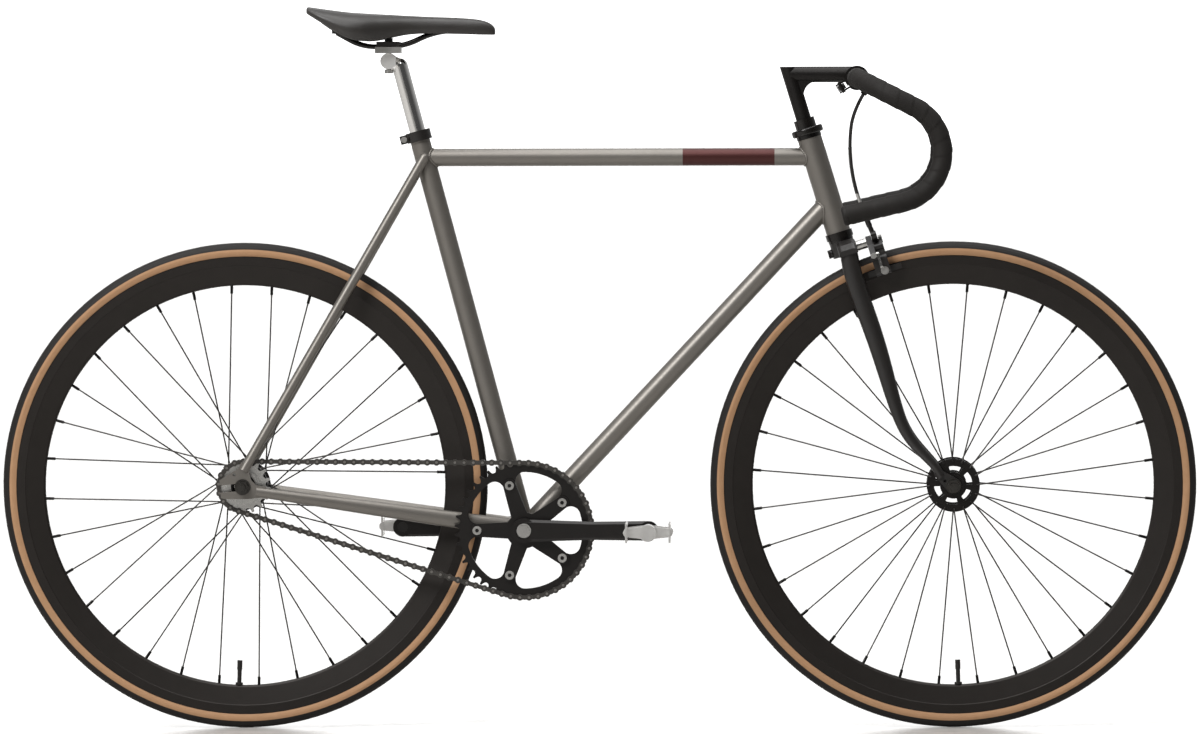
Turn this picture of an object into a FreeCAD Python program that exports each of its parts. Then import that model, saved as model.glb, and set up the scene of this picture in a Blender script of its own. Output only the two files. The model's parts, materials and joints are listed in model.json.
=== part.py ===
import FreeCAD, Part
import math
import os

# Fixed gear bicycle. Millimetres and degrees, +X forward, +Y to the rider's left, +Z up.
# The origin is on the ground, halfway between the two axles.

Vec = FreeCAD.Vector
X_AXIS = Vec(1, 0, 0)
Y_AXIS = Vec(0, 1, 0)
Z_AXIS = Vec(0, 0, 1)
RIGHT = -1
LEFT = 1
SIDES = (RIGHT, LEFT)

# Driving dimensions: layout
WHEELBASE = 980.0
BOTTOM_BRACKET_DROP = 61.0
BOTTOM_BRACKET_TYRE_GAP = 50.0
HEAD_ANGLE = 73.0
SEAT_ANGLE = 75.0
FORK_RAKE = 49.0

# Driving dimensions: clearances
FIT_GAP = 0.02
RUNNING_GAP = 0.05
SOFT_GAP = 0.3

# Driving dimensions: frame tubes
HEAD_TUBE_LENGTH = 136.0
HEAD_TUBE_DIAMETER = 33.6
HEAD_TUBE_BORE = 30.2
TOP_TUBE_DIAMETER = 24.0
TOP_TUBE_BELOW_HEAD_TOP = 27.0
DOWN_TUBE_DIAMETER = 27.0
DOWN_TUBE_ABOVE_HEAD_BOTTOM = 43.0
SEAT_TUBE_DIAMETER = 27.4
SEAT_TUBE_ABOVE_TOP_TUBE = 35.0
SEAT_SLEEVE_LENGTH = 205.0
TUBE_WALL = 1.1
SHELL_DIAMETER = 40.0
SHELL_BORE = 34.8
SHELL_WIDTH = 68.0
CHAINSTAY_HEIGHT = 25.0
CHAINSTAY_WIDTH = 14.5
CHAINSTAY_TIP_DIAMETER = 14.0
CHAINSTAY_FRONT_OFFSET = 23.5
SEATSTAY_DIAMETER = 13.6
SEATSTAY_TOP_OFFSET = 15.5
STAY_WALL = 1.2
STAY_BRIDGE_DIAMETER = 11.0
STAY_BRIDGE_ABOVE_TYRE = 14.0

# Driving dimensions: rear dropouts
REAR_HUB_WIDTH = 120.0
DROPOUT_THICKNESS = 6.0
DROPOUT_SLOT_WIDTH = 10.2
DROPOUT_SLOT_TILT = 5.0
DROPOUT_REACH = 32.0
EYELET_RADIUS = 2.1
REAR_EYELET_BACK = 11.5
REAR_EYELET_UP = 17.0
FRONT_EYELET_BACK = 9.5
FRONT_EYELET_UP = 10.0

# Driving dimensions: headset and steerer
STEERER_DIAMETER = 25.4
STEERER_BORE = 21.2
CROWN_TYRE_GAP = 10.0
CROWN_HEIGHT = 21.0
LOWER_STACK = 13.0
HEADSET_BALL_DIAMETER = 3.96
HEADSET_BALL_CIRCLE = 15.6
HEADSET_BALL_COUNT = 20
CUP_DIAMETER = 38.0
CUP_PRESS_DEPTH = 9.0
CUP_RIM_HEIGHT = 5.0
TOP_RACE_DIAMETER = 44.0
TOP_RACE_HEIGHT = 9.5
LOCK_NUT_DIAMETER = 29.0
LOCK_NUT_HEIGHT = 13.0

# Driving dimensions: fork
BLADE_OFFSET = 5.0
BLADE_TOP_DEPTH = 24.4
BLADE_TOP_WIDTH = 18.0
BLADE_TIP_DIAMETER = 12.0
BLADE_TOP_SPACING = 66.0
BLADE_WALL = 1.4
BLADE_BEND_ANGLE = 22.0
BLADE_BEND_RADIUS = 130.0
BLADE_TIP_LEAD = 6.0
BLADE_END_ABOVE_AXLE = 16.0
CROWN_DEPTH = 27.0
CROWN_SOCKET_RADIUS = 17.0
CROWN_FILLET = 6.0
FRONT_HUB_WIDTH = 100.0
FORK_DROPOUT_THICKNESS = 5.0
FORK_DROPOUT_RADIUS = 11.0

# Driving dimensions: stem and handlebar
QUILL_DIAMETER = 21.1
QUILL_INSERT = 92.0
STEM_REACH = 92.7
STEM_ABOVE_HEADSET = 64.3
STEM_DIAMETER = 22.0
STEM_BOLT_RADIUS = 4.0
GUSSET_RADIUS = 19.0
GUSSET_SINK = 1.5
GUSSET_WIDTH = 14.0
BAR_DROP_BELOW_STEM = 5.0
BAR_DIAMETER = 23.8
BAR_WALL = 1.6
BAR_WIDTH = 400.0
BAR_TOP_BEND = 70.0
BAR_RAMP_ANGLE = 27.0
BAR_RAMP_LENGTH = 88.0
BAR_HOOK_RADIUS = 69.5
BAR_TAIL_ANGLE = 13.0
BAR_TAIL_LENGTH = 78.0
BAR_CLAMP_WIDTH = 40.0
BAR_CLAMP_DIAMETER = 34.0
TAPE_THICKNESS = 1.8
TAPE_START = 62.0
PLUG_LENGTH = 16.0
PLUG_LIP = 7.0

# Driving dimensions: brake lever, cable and calliper
LEVER_SIDE = -49.0
LEVER_TILT = 31.0
LEVER_PIVOT_OFFSET = 25.0
LEVER_LENGTH = 78.0
LEVER_THICKNESS = 8.0
LEVER_PIN_RADIUS = 2.4
BRACKET_WIDTH = 14.0
BRACKET_DIAMETER = 31.0
CABLE_DIAMETER = 5.0
FERRULE_DIAMETER = 6.4
CALIPER_ABOVE_PAD = 43.0
CALIPER_REAR_FACE = 33.0
CALIPER_PLATE = 8.0
CALIPER_LEG_FRONT = 54.0
CALIPER_BOLT_RADIUS = 3.0
CALIPER_NUT_HEIGHT = 4.0
CALIPER_ADJUSTER_SIDE = 33.0
CALIPER_ANCHOR_SIDE = 36.0
PAD_GAP = 2.0
PAD_THICKNESS = 8.0
PAD_HEIGHT = 8.0
PAD_LENGTH = 48.0

# Driving dimensions: wheels
TYRE_WIDTH = 25.0
TYRE_HEIGHT = 19.0
TYRE_WALL = 2.2
RIM_OUTER_RADIUS = 317.0
RIM_WIDTH = 20.0
RIM_TRACK_HEIGHT = 12.0
RIM_DEPTH = 40.0
RIM_BED_DEPTH = 8.3
RIM_WALL = 2.0
SPOKE_COUNT = 32
SPOKE_DIAMETER = 2.0
NIPPLE_DIAMETER = 4.0
NIPPLE_LENGTH = 18.0
NIPPLE_SHOWING = 11.0
SPOKE_STAND_OFF = 2.1
VALVE_DIAMETER = 6.0
VALVE_SHOWING = 34.0
FRONT_FLANGE_OFFSET = 35.0
FRONT_FLANGE_RADIUS = 36.7
FRONT_HOLE_RADIUS = 33.0
FRONT_WHEEL_TURN = 1.4
REAR_FLANGE_OFFSET = 33.0
REAR_FLANGE_RADIUS = 33.0
REAR_HOLE_RADIUS = 29.0
REAR_WHEEL_TURN = 26.1
REAR_VALVE_TURN = -92.0
FLANGE_THICKNESS = 3.6
FRONT_AXLE_DIAMETER = 9.0
REAR_AXLE_DIAMETER = 10.0
AXLE_TIP_LENGTH = 6.0
AXLE_TIP_STEP = 0.6
AXLE_NECK_LENGTH = 1.0
AXLE_NECK_STEP = 1.2
AXLE_NUT_HEIGHT = 9.0
AXLE_NUT_FLATS = 15.0
WASHER_THICKNESS = 1.6
FRONT_BALL_DIAMETER = 4.76
FRONT_CONE_RADIUS = 7.0
FRONT_BALL_COUNT = 10
REAR_BALL_DIAMETER = 6.35
REAR_CONE_RADIUS = 8.3
REAR_BALL_COUNT = 9

# Driving dimensions: drive
CHAIN_PITCH = 12.7
CHAINRING_TEETH = 46
SPROCKET_TEETH = 17
CHAINLINE = 44.0
TOOTH_THICKNESS = 3.0
TOOTH_TIP = 3.2
TOOTH_FLANK_ANGLE = 20.0
ROLLER_DIAMETER = 7.75
ROLLER_SEAT_GAP = 0.12
ROLLER_WIDTH = 3.4
CHAIN_PLATE = 1.2
CHAIN_PLATE_HEIGHT = 8.8
CHAIN_PLATE_WAIST = 5.8
CHAIN_PIN_RADIUS = 1.8
SPROCKET_THREAD_RADIUS = 17.0
LOCKRING_RADIUS = 23.0
LOCKRING_WIDTH = 4.5
RING_INNER_RADIUS = 80.5
RING_TAB_FILLET = 13.0
BOLT_CIRCLE_RADIUS = 65.0
SPIDER_ARMS = 5
SPIDER_THICKNESS = 4.5
SPIDER_TIP_RADIUS = 8.8
SPIDER_ROOT_RADIUS = 12.0
SPIDER_HUB_RADIUS = 25.0
RING_BOLT_RADIUS = 5.0
RING_BOLT_HEAD_RADIUS = 6.2
CRANK_LENGTH = 172.5
CRANK_ROOT_HEIGHT = 31.0
CRANK_WAIST_HEIGHT = 25.0
CRANK_TIP_HEIGHT = 27.0
CRANK_THICKNESS = 14.0
CRANK_ROOT_OFFSET = 58.0
CRANK_TIP_OFFSET = 67.0
CRANK_BOSS_RADIUS = 17.0
CRANK_BOSS_INNER = 39.5
SPINDLE_RADIUS = 8.2
SPINDLE_SQUARE = 12.7
SPINDLE_HALF_LENGTH = 57.0
BRACKET_BALL_DIAMETER = 6.35
BRACKET_BALL_COUNT = 11
BRACKET_CUP_FLANGE = 3.5
PEDAL_THREAD_RADIUS = 7.1
PEDAL_AXLE_RADIUS = 5.0
PEDAL_LENGTH = 62.0
PEDAL_WIDTH = 64.0
PEDAL_CAGE_HEIGHT = 27.0
PEDAL_CAGE_PLATE = 2.4
PEDAL_BARREL_RADIUS = 10.0
PEDAL_CAP_RADIUS = 11.7
PEDAL_TEETH = 8

# Driving dimensions: seatpost and saddle
POST_DIAMETER = 22.2
POST_WALL = 2.0
POST_INSERT = 130.0
POST_SHOWING = 96.0
RAIL_ABOVE_COLLAR = 126.0
RAIL_SETBACK = 8.0
RAIL_DIAMETER = 7.0
RAIL_BOSS_DROP = 1.0
COLLAR_HEIGHT = 14.0
COLLAR_WALL = 3.6
SADDLE_FOAM = 7.0
SADDLE_SIDE = 3.2
SADDLE_SHELL = 2.6
CRADLE_LENGTH = 36.0
CRADLE_WIDTH = 54.0
CRADLE_HEIGHT = 9.0
CLAMP_TOP_HEIGHT = 7.0
CLAMP_BOLT_RADIUS = 3.5
POST_HEAD_RADIUS = 11.0

# Saddle stations: distance forward of the clamp, half width, top and lower edge above the rails
SADDLE_STATIONS = (
    (-113.0, 44.0, 55.5, 46.5),
    (-91.0, 63.0, 52.5, 33.0),
    (-56.0, 70.0, 48.0, 12.5),
    (-34.0, 66.0, 46.5, 7.6),
    (-9.0, 51.0, 45.0, 9.8),
    (24.0, 33.0, 43.0, 16.4),
    (59.0, 24.0, 41.3, 18.0),
    (96.0, 19.0, 39.8, 17.3),
    (126.0, 15.5, 37.0, 16.2),
    (148.0, 8.5, 25.0, 16.0),
)

# Saddle rail route, right and left alike: forward of the clamp, half spacing, above the clamp
RAIL_ROUTE = (
    (-70.0, 34.0, 19.0),
    (-36.0, 24.0, 0.0),
    (20.0, 22.0, 0.0),
    (62.0, 9.0, 20.0),
    (112.0, 6.0, 23.5),
)
RAIL_SOCKET_START = 104.0

# Brake cable's ends: its start from the bar's centre, its foot from the calliper's pivot and steering axis
CABLE_START_AHEAD = 8.492
CABLE_START_DROP = 22.611
CABLE_FOOT_UP = 30.624
CABLE_FOOT_AHEAD = 42.782

# Brake cable route between its ends: share of the way down, bow forward and sway to the left
CABLE_BOWS = (
    (0.0, 0.0, 0.0),
    (0.11484, -15.345, -0.838),
    (0.32888, -21.797, -1.262),
    (0.57352, -20.357, -1.176),
    (0.81307, -11.676, -0.509),
    (1.0, 0.0, 0.0),
)


# Small geometry helpers
def unit(vector):
    """Vector of length one along the given vector."""
    return vector * (1.0 / vector.Length)


def polar(angle, radius=1.0, side=0.0):
    """Point in the wheel plane, with the angle measured from +X towards +Z."""
    turn = math.radians(angle)
    return Vec(radius * math.cos(turn), side, radius * math.sin(turn))


def rod(start, end, radius):
    """Solid cylinder between two points."""
    along = end - start
    return Part.makeCylinder(radius, along.Length, start, along)


def tube(start, end, outer, inner):
    """Hollow cylinder between two points."""
    return rod(start, end, outer).cut(rod(start, end, inner))


def cross_rod(centre, y_start, y_end, radius):
    """Cylinder across the bicycle, about a line through a centre."""
    start = Vec(centre.x, y_start, centre.z)
    end = Vec(centre.x, y_end, centre.z)
    return rod(start, end, radius)


def cross_ring(centre, y_start, y_end, outer, inner):
    """Ring across the bicycle, about a line through a centre."""
    return cross_rod(centre, y_start, y_end, outer).cut(cross_rod(centre, y_start, y_end, inner))


def prism(points, depth):
    """Flat outline pushed along a vector."""
    outline = Part.makePolygon(list(points) + [points[0]])
    return Part.Face(outline).extrude(depth)


def hexagon(centre, axis, flats, height):
    """Hexagonal prism that stands on a centre and runs along an axis."""
    along = unit(axis)
    first = unit(Vec(along.z, along.x, along.y).cross(along))
    second = along.cross(first)
    corner = flats / math.sqrt(3.0)
    points = []
    for index in range(6):
        turn = math.radians(60.0 * index)
        points.append(centre + first * (corner * math.cos(turn)) + second * (corner * math.sin(turn)))
    return prism(points, along * height)


def tapered_bar(first, first_radius, second, second_radius, depth):
    """Flat bar with round ends about two points, pushed along a vector."""
    span = second - first
    along = unit(span)
    aside = unit(depth).cross(along)
    lean = (first_radius - second_radius) / span.Length
    square = math.sqrt(1.0 - lean * lean)
    upper = along * lean + aside * square
    lower = along * lean - aside * square
    corner_a = first + upper * first_radius
    corner_b = second + upper * second_radius
    corner_c = second + lower * second_radius
    corner_d = first + lower * first_radius
    outline = Part.Wire([
        Part.LineSegment(corner_a, corner_b).toShape(),
        Part.Arc(corner_b, second + along * second_radius, corner_c).toShape(),
        Part.LineSegment(corner_c, corner_d).toShape(),
        Part.Arc(corner_d, first - along * first_radius, corner_a).toShape(),
    ])
    return Part.Face(outline).extrude(depth)


def ellipse_wire(centre, major, minor):
    """Closed ellipse about a centre, from its two half axes."""
    if major.Length < minor.Length:
        major, minor = minor, major
    return Part.Wire(Part.Ellipse(centre + major, centre + minor, centre).toShape())


def rounded_path(points, radii):
    """Wire of straight runs and tangent arcs through a list of points."""
    edges = []
    start = points[0]
    for index in range(1, len(points) - 1):
        corner = points[index]
        back = unit(points[index - 1] - corner)
        ahead = unit(points[index + 1] - corner)
        half_turn = (math.pi - back.getAngle(ahead)) / 2.0
        radius = radii[index - 1]
        cut = radius * math.tan(half_turn)
        inward = unit(back + ahead)
        middle = corner + inward * (radius / math.cos(half_turn) - radius)
        entry = corner + back * cut
        leave = corner + ahead * cut
        edges.append(Part.LineSegment(start, entry).toShape())
        edges.append(Part.Arc(entry, middle, leave).toShape())
        start = leave
    edges.append(Part.LineSegment(start, points[-1]).toShape())
    return Part.Wire(edges)


def easy_radii(points):
    """Largest tangent arc that each corner of a route has room for."""
    radii = []
    for index in range(1, len(points) - 1):
        back = points[index - 1] - points[index]
        ahead = points[index + 1] - points[index]
        half_turn = (math.pi - back.getAngle(ahead)) / 2.0
        radii.append(0.45 * min(back.Length, ahead.Length) / math.tan(half_turn))
    return radii


def pipe(path, start, direction, radius):
    """Round bar that follows a wire."""
    circle = Part.Wire(Part.Circle(start, direction, radius).toShape())
    return path.makePipeShell([circle], True, True)


def spin(profile, centre):
    """Turn an outline of (radius, side) points about an axle."""
    points = [Vec(centre.x, side, centre.z + radius) for radius, side in profile]
    face = Part.Face(Part.makePolygon(points + [points[0]]))
    return face.revolve(Vec(centre.x, 0, centre.z), Y_AXIS, 360)


def mirrored(points):
    """Outline on one side of the wheel plane, joined to its mirror image."""
    return list(points) + [(radius, -side) for radius, side in reversed(points)]


# Chain: 2-D walk round the sprocket and the chainring
def pitch_radius(teeth):
    """Radius of the circle that the chain's pins lie on."""
    return CHAIN_PITCH / (2.0 * math.sin(math.pi / teeth))


TYRE_RADIUS = RIM_OUTER_RADIUS + TYRE_HEIGHT


def chain_count(least):
    """Even number of links that keeps the two axles at least so far apart."""
    straight = 2.0 * least / CHAIN_PITCH + (CHAINRING_TEETH + SPROCKET_TEETH) / 2.0
    slant = ((CHAINRING_TEETH - SPROCKET_TEETH) / (2.0 * math.pi)) ** 2 * CHAIN_PITCH / least
    return 2 * math.ceil((straight + slant) / 2.0)


CHAIN_PITCHES = chain_count(TYRE_RADIUS + BOTTOM_BRACKET_TYRE_GAP)


class ChainLoop:
    """Taut loop round a sprocket at the origin and a chainring at a distance ahead of it."""

    def __init__(self, distance):
        self.distance = distance
        self.small = pitch_radius(SPROCKET_TEETH)
        self.large = pitch_radius(CHAINRING_TEETH)
        self.lean = math.asin((self.large - self.small) / distance)
        self.run = distance * math.cos(self.lean)
        self.large_wrap = self.large * (math.pi + 2.0 * self.lean)
        self.small_wrap = self.small * (math.pi - 2.0 * self.lean)
        self.total = 2.0 * self.run + self.large_wrap + self.small_wrap

    def point(self, travel):
        """Place on the loop after some travel from the sprocket's upper tangent."""
        travel = travel % self.total
        top = math.pi / 2.0 + self.lean
        if travel < self.run:
            share = travel / self.run
            u = self.small * math.cos(top) + share * self.run * math.cos(self.lean)
            v = self.small * math.sin(top) + share * self.run * math.sin(self.lean)
            return u, v
        travel -= self.run
        if travel < self.large_wrap:
            turn = top - travel / self.large
            return self.distance + self.large * math.cos(turn), self.large * math.sin(turn)
        travel -= self.large_wrap
        if travel < self.run:
            u = self.distance + self.large * math.cos(top) - travel * math.cos(self.lean)
            v = -self.large * math.sin(top) + travel * math.sin(self.lean)
            return u, v
        travel -= self.run
        turn = -top - travel / self.small
        return self.small * math.cos(turn), self.small * math.sin(turn)

    def step(self, travel):
        """Travel of the next pin, one pitch away in a straight line."""
        here = self.point(travel)
        low = travel + 0.5 * CHAIN_PITCH
        high = travel + 1.5 * CHAIN_PITCH
        for _ in range(48):
            middle = (low + high) / 2.0
            if math.dist(here, self.point(middle)) < CHAIN_PITCH:
                low = middle
            else:
                high = middle
        return (low + high) / 2.0

    def pins(self):
        """Travel of every pin, with the pin that should close the loop as the last one."""
        travels = [0.0]
        for _ in range(CHAIN_PITCHES):
            travels.append(self.step(travels[-1]))
        return travels


def close_chain():
    """Loop whose centre distance takes up the whole chain."""
    low = pitch_radius(CHAINRING_TEETH) + pitch_radius(SPROCKET_TEETH)
    high = CHAIN_PITCH * CHAIN_PITCHES / 2.0
    for _ in range(48):
        middle = (low + high) / 2.0
        loop = ChainLoop(middle)
        if loop.pins()[-1] > loop.total:
            low = middle
        else:
            high = middle
    return ChainLoop((low + high) / 2.0)


CHAIN = close_chain()

# Places that follow from the driving dimensions
REAR_AXLE = Vec(-WHEELBASE / 2.0, 0, TYRE_RADIUS)
FRONT_AXLE = Vec(WHEELBASE / 2.0, 0, TYRE_RADIUS)
CHAIN_SLOPE = math.asin(BOTTOM_BRACKET_DROP / CHAIN.distance)
BRACKET = REAR_AXLE + Vec(CHAIN.distance * math.cos(CHAIN_SLOPE), 0, -BOTTOM_BRACKET_DROP)

STEER_UP = polar(180.0 - HEAD_ANGLE)
STEER_AHEAD = polar(90.0 - HEAD_ANGLE)
STEER_FOOT = FRONT_AXLE - STEER_AHEAD * FORK_RAKE
SEAT_UP = polar(180.0 - SEAT_ANGLE)
SEAT_BACK = polar(270.0 - SEAT_ANGLE)


def steer(up, ahead=0.0, side=0.0):
    """Point along the steering axis, above the axle's foot on it, ahead of it and to one side."""
    return STEER_FOOT + STEER_UP * up + STEER_AHEAD * ahead + Y_AXIS * side


def seat(up, back=0.0, side=0.0):
    """Point along the seat tube's axis, above the bottom bracket, behind it and to one side."""
    return BRACKET + SEAT_UP * up + SEAT_BACK * back + Y_AXIS * side


CROWN_BOTTOM = TYRE_RADIUS + CROWN_TYRE_GAP
CROWN_TOP = CROWN_BOTTOM + CROWN_HEIGHT
HEAD_BOTTOM = CROWN_TOP + LOWER_STACK
HEAD_TOP = HEAD_BOTTOM + HEAD_TUBE_LENGTH
UPPER_SEAT = HEAD_TOP + CUP_RIM_HEIGHT
UPPER_RACE = UPPER_SEAT + HEADSET_BALL_DIAMETER + 2.0 * RUNNING_GAP
LOCK_NUT_BOTTOM = UPPER_RACE + TOP_RACE_HEIGHT - HEADSET_BALL_DIAMETER
STEERER_TOP = LOCK_NUT_BOTTOM + LOCK_NUT_HEIGHT
STEM_AXIS_HEIGHT = STEERER_TOP + STEM_ABOVE_HEADSET

TOP_TUBE_FRONT = steer(HEAD_TOP - TOP_TUBE_BELOW_HEAD_TOP)
DOWN_TUBE_FRONT = steer(HEAD_BOTTOM + DOWN_TUBE_ABOVE_HEAD_BOTTOM)
TOP_TUBE_JOIN = (TOP_TUBE_FRONT.z - BRACKET.z) / SEAT_UP.z
TOP_TUBE_REAR = seat(TOP_TUBE_JOIN)
SEAT_TOP = TOP_TUBE_JOIN + SEAT_TUBE_ABOVE_TOP_TUBE
POST_RADIUS = POST_DIAMETER / 2.0
RAIL_CENTRE = seat(SEAT_TOP + RAIL_ABOVE_COLLAR, RAIL_SETBACK)

DROPOUT_INNER = REAR_HUB_WIDTH / 2.0
DROPOUT_MIDDLE = DROPOUT_INNER + DROPOUT_THICKNESS / 2.0
DROPOUT_OUTER = DROPOUT_INNER + DROPOUT_THICKNESS
CHAINSTAY_TIP = REAR_AXLE + Vec(18.0, 0, -6.5)
SEATSTAY_TIP = REAR_AXLE + Vec(1.0, 0, 22.0)

FORK_INNER = FRONT_HUB_WIDTH / 2.0
FORK_OUTER = FORK_INNER + FORK_DROPOUT_THICKNESS
PAD_RADIUS = RIM_OUTER_RADIUS - RIM_TRACK_HEIGHT / 2.0
CALIPER_PIVOT = PAD_RADIUS + CALIPER_ABOVE_PAD

BAR_RADIUS = BAR_DIAMETER / 2.0
TAPE_RADIUS = BAR_RADIUS + TAPE_THICKNESS
STEM_CORNER = steer(STEM_AXIS_HEIGHT)
BAR_CENTRE = STEM_CORNER + Vec(STEM_REACH, 0, -BAR_DROP_BELOW_STEM)
CABLE_START = BAR_CENTRE + Vec(CABLE_START_AHEAD, LEVER_SIDE, -CABLE_START_DROP)
CABLE_FOOT = steer(CALIPER_PIVOT + CABLE_FOOT_UP, CABLE_FOOT_AHEAD, -CALIPER_ADJUSTER_SIDE)
CABLE_ROUTE = [CABLE_START + (CABLE_FOOT - CABLE_START) * share + STEER_AHEAD * bow + Y_AXIS * sway
               for share, bow, sway in CABLE_BOWS]
LEVER_OUT = polar(180.0 + LEVER_TILT)
LEVER_AXIS = polar(270.0 + LEVER_TILT)

RING_OUTER_FACE = CHAINLINE + TOOTH_THICKNESS / 2.0
RING_INNER_FACE = CHAINLINE - TOOTH_THICKNESS / 2.0
SPIDER_OUTER_FACE = RING_OUTER_FACE + SPIDER_THICKNESS
CRANK_OUTER_FACE = CRANK_ROOT_OFFSET + CRANK_THICKNESS / 2.0
PEDAL_FACE = CRANK_TIP_OFFSET + CRANK_THICKNESS / 2.0
PEDAL_SHOULDER = 6.0
PEDAL_START = PEDAL_FACE + PEDAL_SHOULDER + SOFT_GAP
PEDAL_END = PEDAL_START + PEDAL_WIDTH


# Frame
def head_tube_block():
    """Head tube without its bore."""
    return rod(steer(HEAD_BOTTOM), steer(HEAD_TOP), HEAD_TUBE_DIAMETER / 2.0)


def seat_tube_block():
    """Seat tube without its bore."""
    return rod(seat(0), seat(SEAT_TOP), SEAT_TUBE_DIAMETER / 2.0)


def shell_block():
    """Bottom bracket shell without its bore."""
    half = SHELL_WIDTH / 2.0
    return cross_rod(BRACKET, -half, half, SHELL_DIAMETER / 2.0)


def head_tube():
    """Head tube, bored for the headset cups."""
    return head_tube_block().cut(rod(steer(HEAD_BOTTOM), steer(HEAD_TOP), HEAD_TUBE_BORE / 2.0))


def seat_tube():
    """Seat tube, reamed for the post above and thin below."""
    outer = seat_tube_block()
    sleeve_bottom = SEAT_TOP - SEAT_SLEEVE_LENGTH
    ream = rod(seat(sleeve_bottom), seat(SEAT_TOP), POST_RADIUS + RUNNING_GAP)
    thin = rod(seat(0), seat(sleeve_bottom), SEAT_TUBE_DIAMETER / 2.0 - TUBE_WALL)
    return outer.cut([ream, thin, shell_block()])


def top_tube():
    """Level top tube, mitred to the head and seat tubes."""
    radius = TOP_TUBE_DIAMETER / 2.0
    body = tube(TOP_TUBE_REAR, TOP_TUBE_FRONT, radius, radius - TUBE_WALL)
    return body.cut([head_tube_block(), seat_tube_block()])


def down_tube():
    """Down tube, mitred to the head tube, the shell and the seat tube."""
    radius = DOWN_TUBE_DIAMETER / 2.0
    body = tube(BRACKET, DOWN_TUBE_FRONT, radius, radius - TUBE_WALL)
    return body.cut([head_tube_block(), shell_block(), seat_tube_block()])


def bottom_bracket_shell():
    """Threaded shell across the frame."""
    half = SHELL_WIDTH / 2.0
    return shell_block().cut(cross_rod(BRACKET, -half, half, SHELL_BORE / 2.0))


def chainstay_solid(side, shrink):
    """One tapered stay, oval at the shell and round at the dropout."""
    front = BRACKET + Y_AXIS * (side * CHAINSTAY_FRONT_OFFSET)
    rear = CHAINSTAY_TIP + Y_AXIS * (side * DROPOUT_MIDDLE)
    along = unit(rear - front)
    upward = unit(along.cross(Y_AXIS).cross(along).cross(along))
    upward = upward if upward.z > 0 else upward * -1.0
    outward = unit(along.cross(upward))
    tip = CHAINSTAY_TIP_DIAMETER / 2.0
    wires = []
    for share in (0.0, 0.35, 0.7, 1.0):
        blend = share ** 1.3
        tall = CHAINSTAY_HEIGHT / 2.0 * (1.0 - blend) + tip * blend - shrink
        wide = CHAINSTAY_WIDTH / 2.0 * (1.0 - blend) + tip * 0.98 * blend - shrink
        centre = front + (rear - front) * share
        wires.append(ellipse_wire(centre, upward * tall, outward * wide))
    return Part.makeLoft(wires, True, False)


def chainstays():
    """Both chainstays, slotted over the dropouts and mitred to the shell."""
    stays = []
    for side in SIDES:
        body = chainstay_solid(side, 0.0).cut(chainstay_solid(side, STAY_WALL))
        stays.append(body.cut([shell_block(), rear_dropout(side)]))
    return Part.makeCompound(stays)


def seatstay_ends(side):
    """Upper and lower end of one seatstay's axis."""
    upper = seat(TOP_TUBE_JOIN) + Y_AXIS * (side * SEATSTAY_TOP_OFFSET)
    lower = SEATSTAY_TIP + Y_AXIS * (side * DROPOUT_MIDDLE)
    return upper, lower


def seatstay_block(side):
    """One seatstay without its bore, with a domed upper end."""
    upper, lower = seatstay_ends(side)
    radius = SEATSTAY_DIAMETER / 2.0
    return rod(lower, upper, radius).fuse(Part.makeSphere(radius, upper)).removeSplitter()


def bridge_point(side):
    """Where the stay bridge meets a seatstay's axis, clear of the tyre."""
    upper, lower = seatstay_ends(side)
    target = TYRE_RADIUS + STAY_BRIDGE_ABOVE_TYRE
    low = 0.0
    high = 1.0
    for _ in range(40):
        middle = (low + high) / 2.0
        place = lower + (upper - lower) * middle
        if math.hypot(place.x - REAR_AXLE.x, place.z - REAR_AXLE.z) < target:
            low = middle
        else:
            high = middle
    return lower + (upper - lower) * low


def seatstays():
    """Both seatstays and the bridge between them."""
    solids = []
    blocks = []
    for side in SIDES:
        upper, lower = seatstay_ends(side)
        block = seatstay_block(side)
        bore = rod(lower, upper, SEATSTAY_DIAMETER / 2.0 - STAY_WALL)
        solids.append(block.cut([bore, seat_tube_block(), rear_dropout(side)]))
        blocks.append(block)
    bridge = rod(bridge_point(RIGHT), bridge_point(LEFT), STAY_BRIDGE_DIAMETER / 2.0)
    solids.append(bridge.cut(blocks))
    return Part.makeCompound(solids)


def rear_dropout(side):
    """Track end with a slot that opens to the rear and a small threaded eyelet."""
    inner = side * DROPOUT_INNER
    depth = Y_AXIS * (side * DROPOUT_THICKNESS)
    outline = (
        (-DROPOUT_REACH, 9.6),
        (-DROPOUT_REACH + 2.0, -15.0),
        (-DROPOUT_REACH + 6.0, -16.5),
        (8.0, -16.5),
        (30.0, -14.0),
        (32.0, 0.0),
        (19.0, 2.5),
        (12.0, 9.0),
        (9.0, 20.0),
        (11.0, 30.0),
        (-2.0, 34.0),
        (-5.0, 26.0),
    )
    points = [REAR_AXLE + Vec(x, inner, z) for x, z in outline]
    plate = prism(points, depth)
    slot_way = polar(180.0 + DROPOUT_SLOT_TILT)
    slot_start = REAR_AXLE + Y_AXIS * inner
    slot_radius = DROPOUT_SLOT_WIDTH / 2.0
    slot_end = slot_start + slot_way * (2.0 * DROPOUT_REACH)
    slot = tapered_bar(slot_start, slot_radius, slot_end, slot_radius, depth)
    eyelet = REAR_AXLE + Vec(-REAR_EYELET_BACK, 0, REAR_EYELET_UP)
    hole = cross_rod(eyelet, side * DROPOUT_INNER, side * DROPOUT_OUTER, EYELET_RADIUS)
    return plate.cut([slot, hole])


def rear_dropouts():
    """Right and left track ends."""
    return Part.makeCompound([rear_dropout(side) for side in SIDES])


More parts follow.
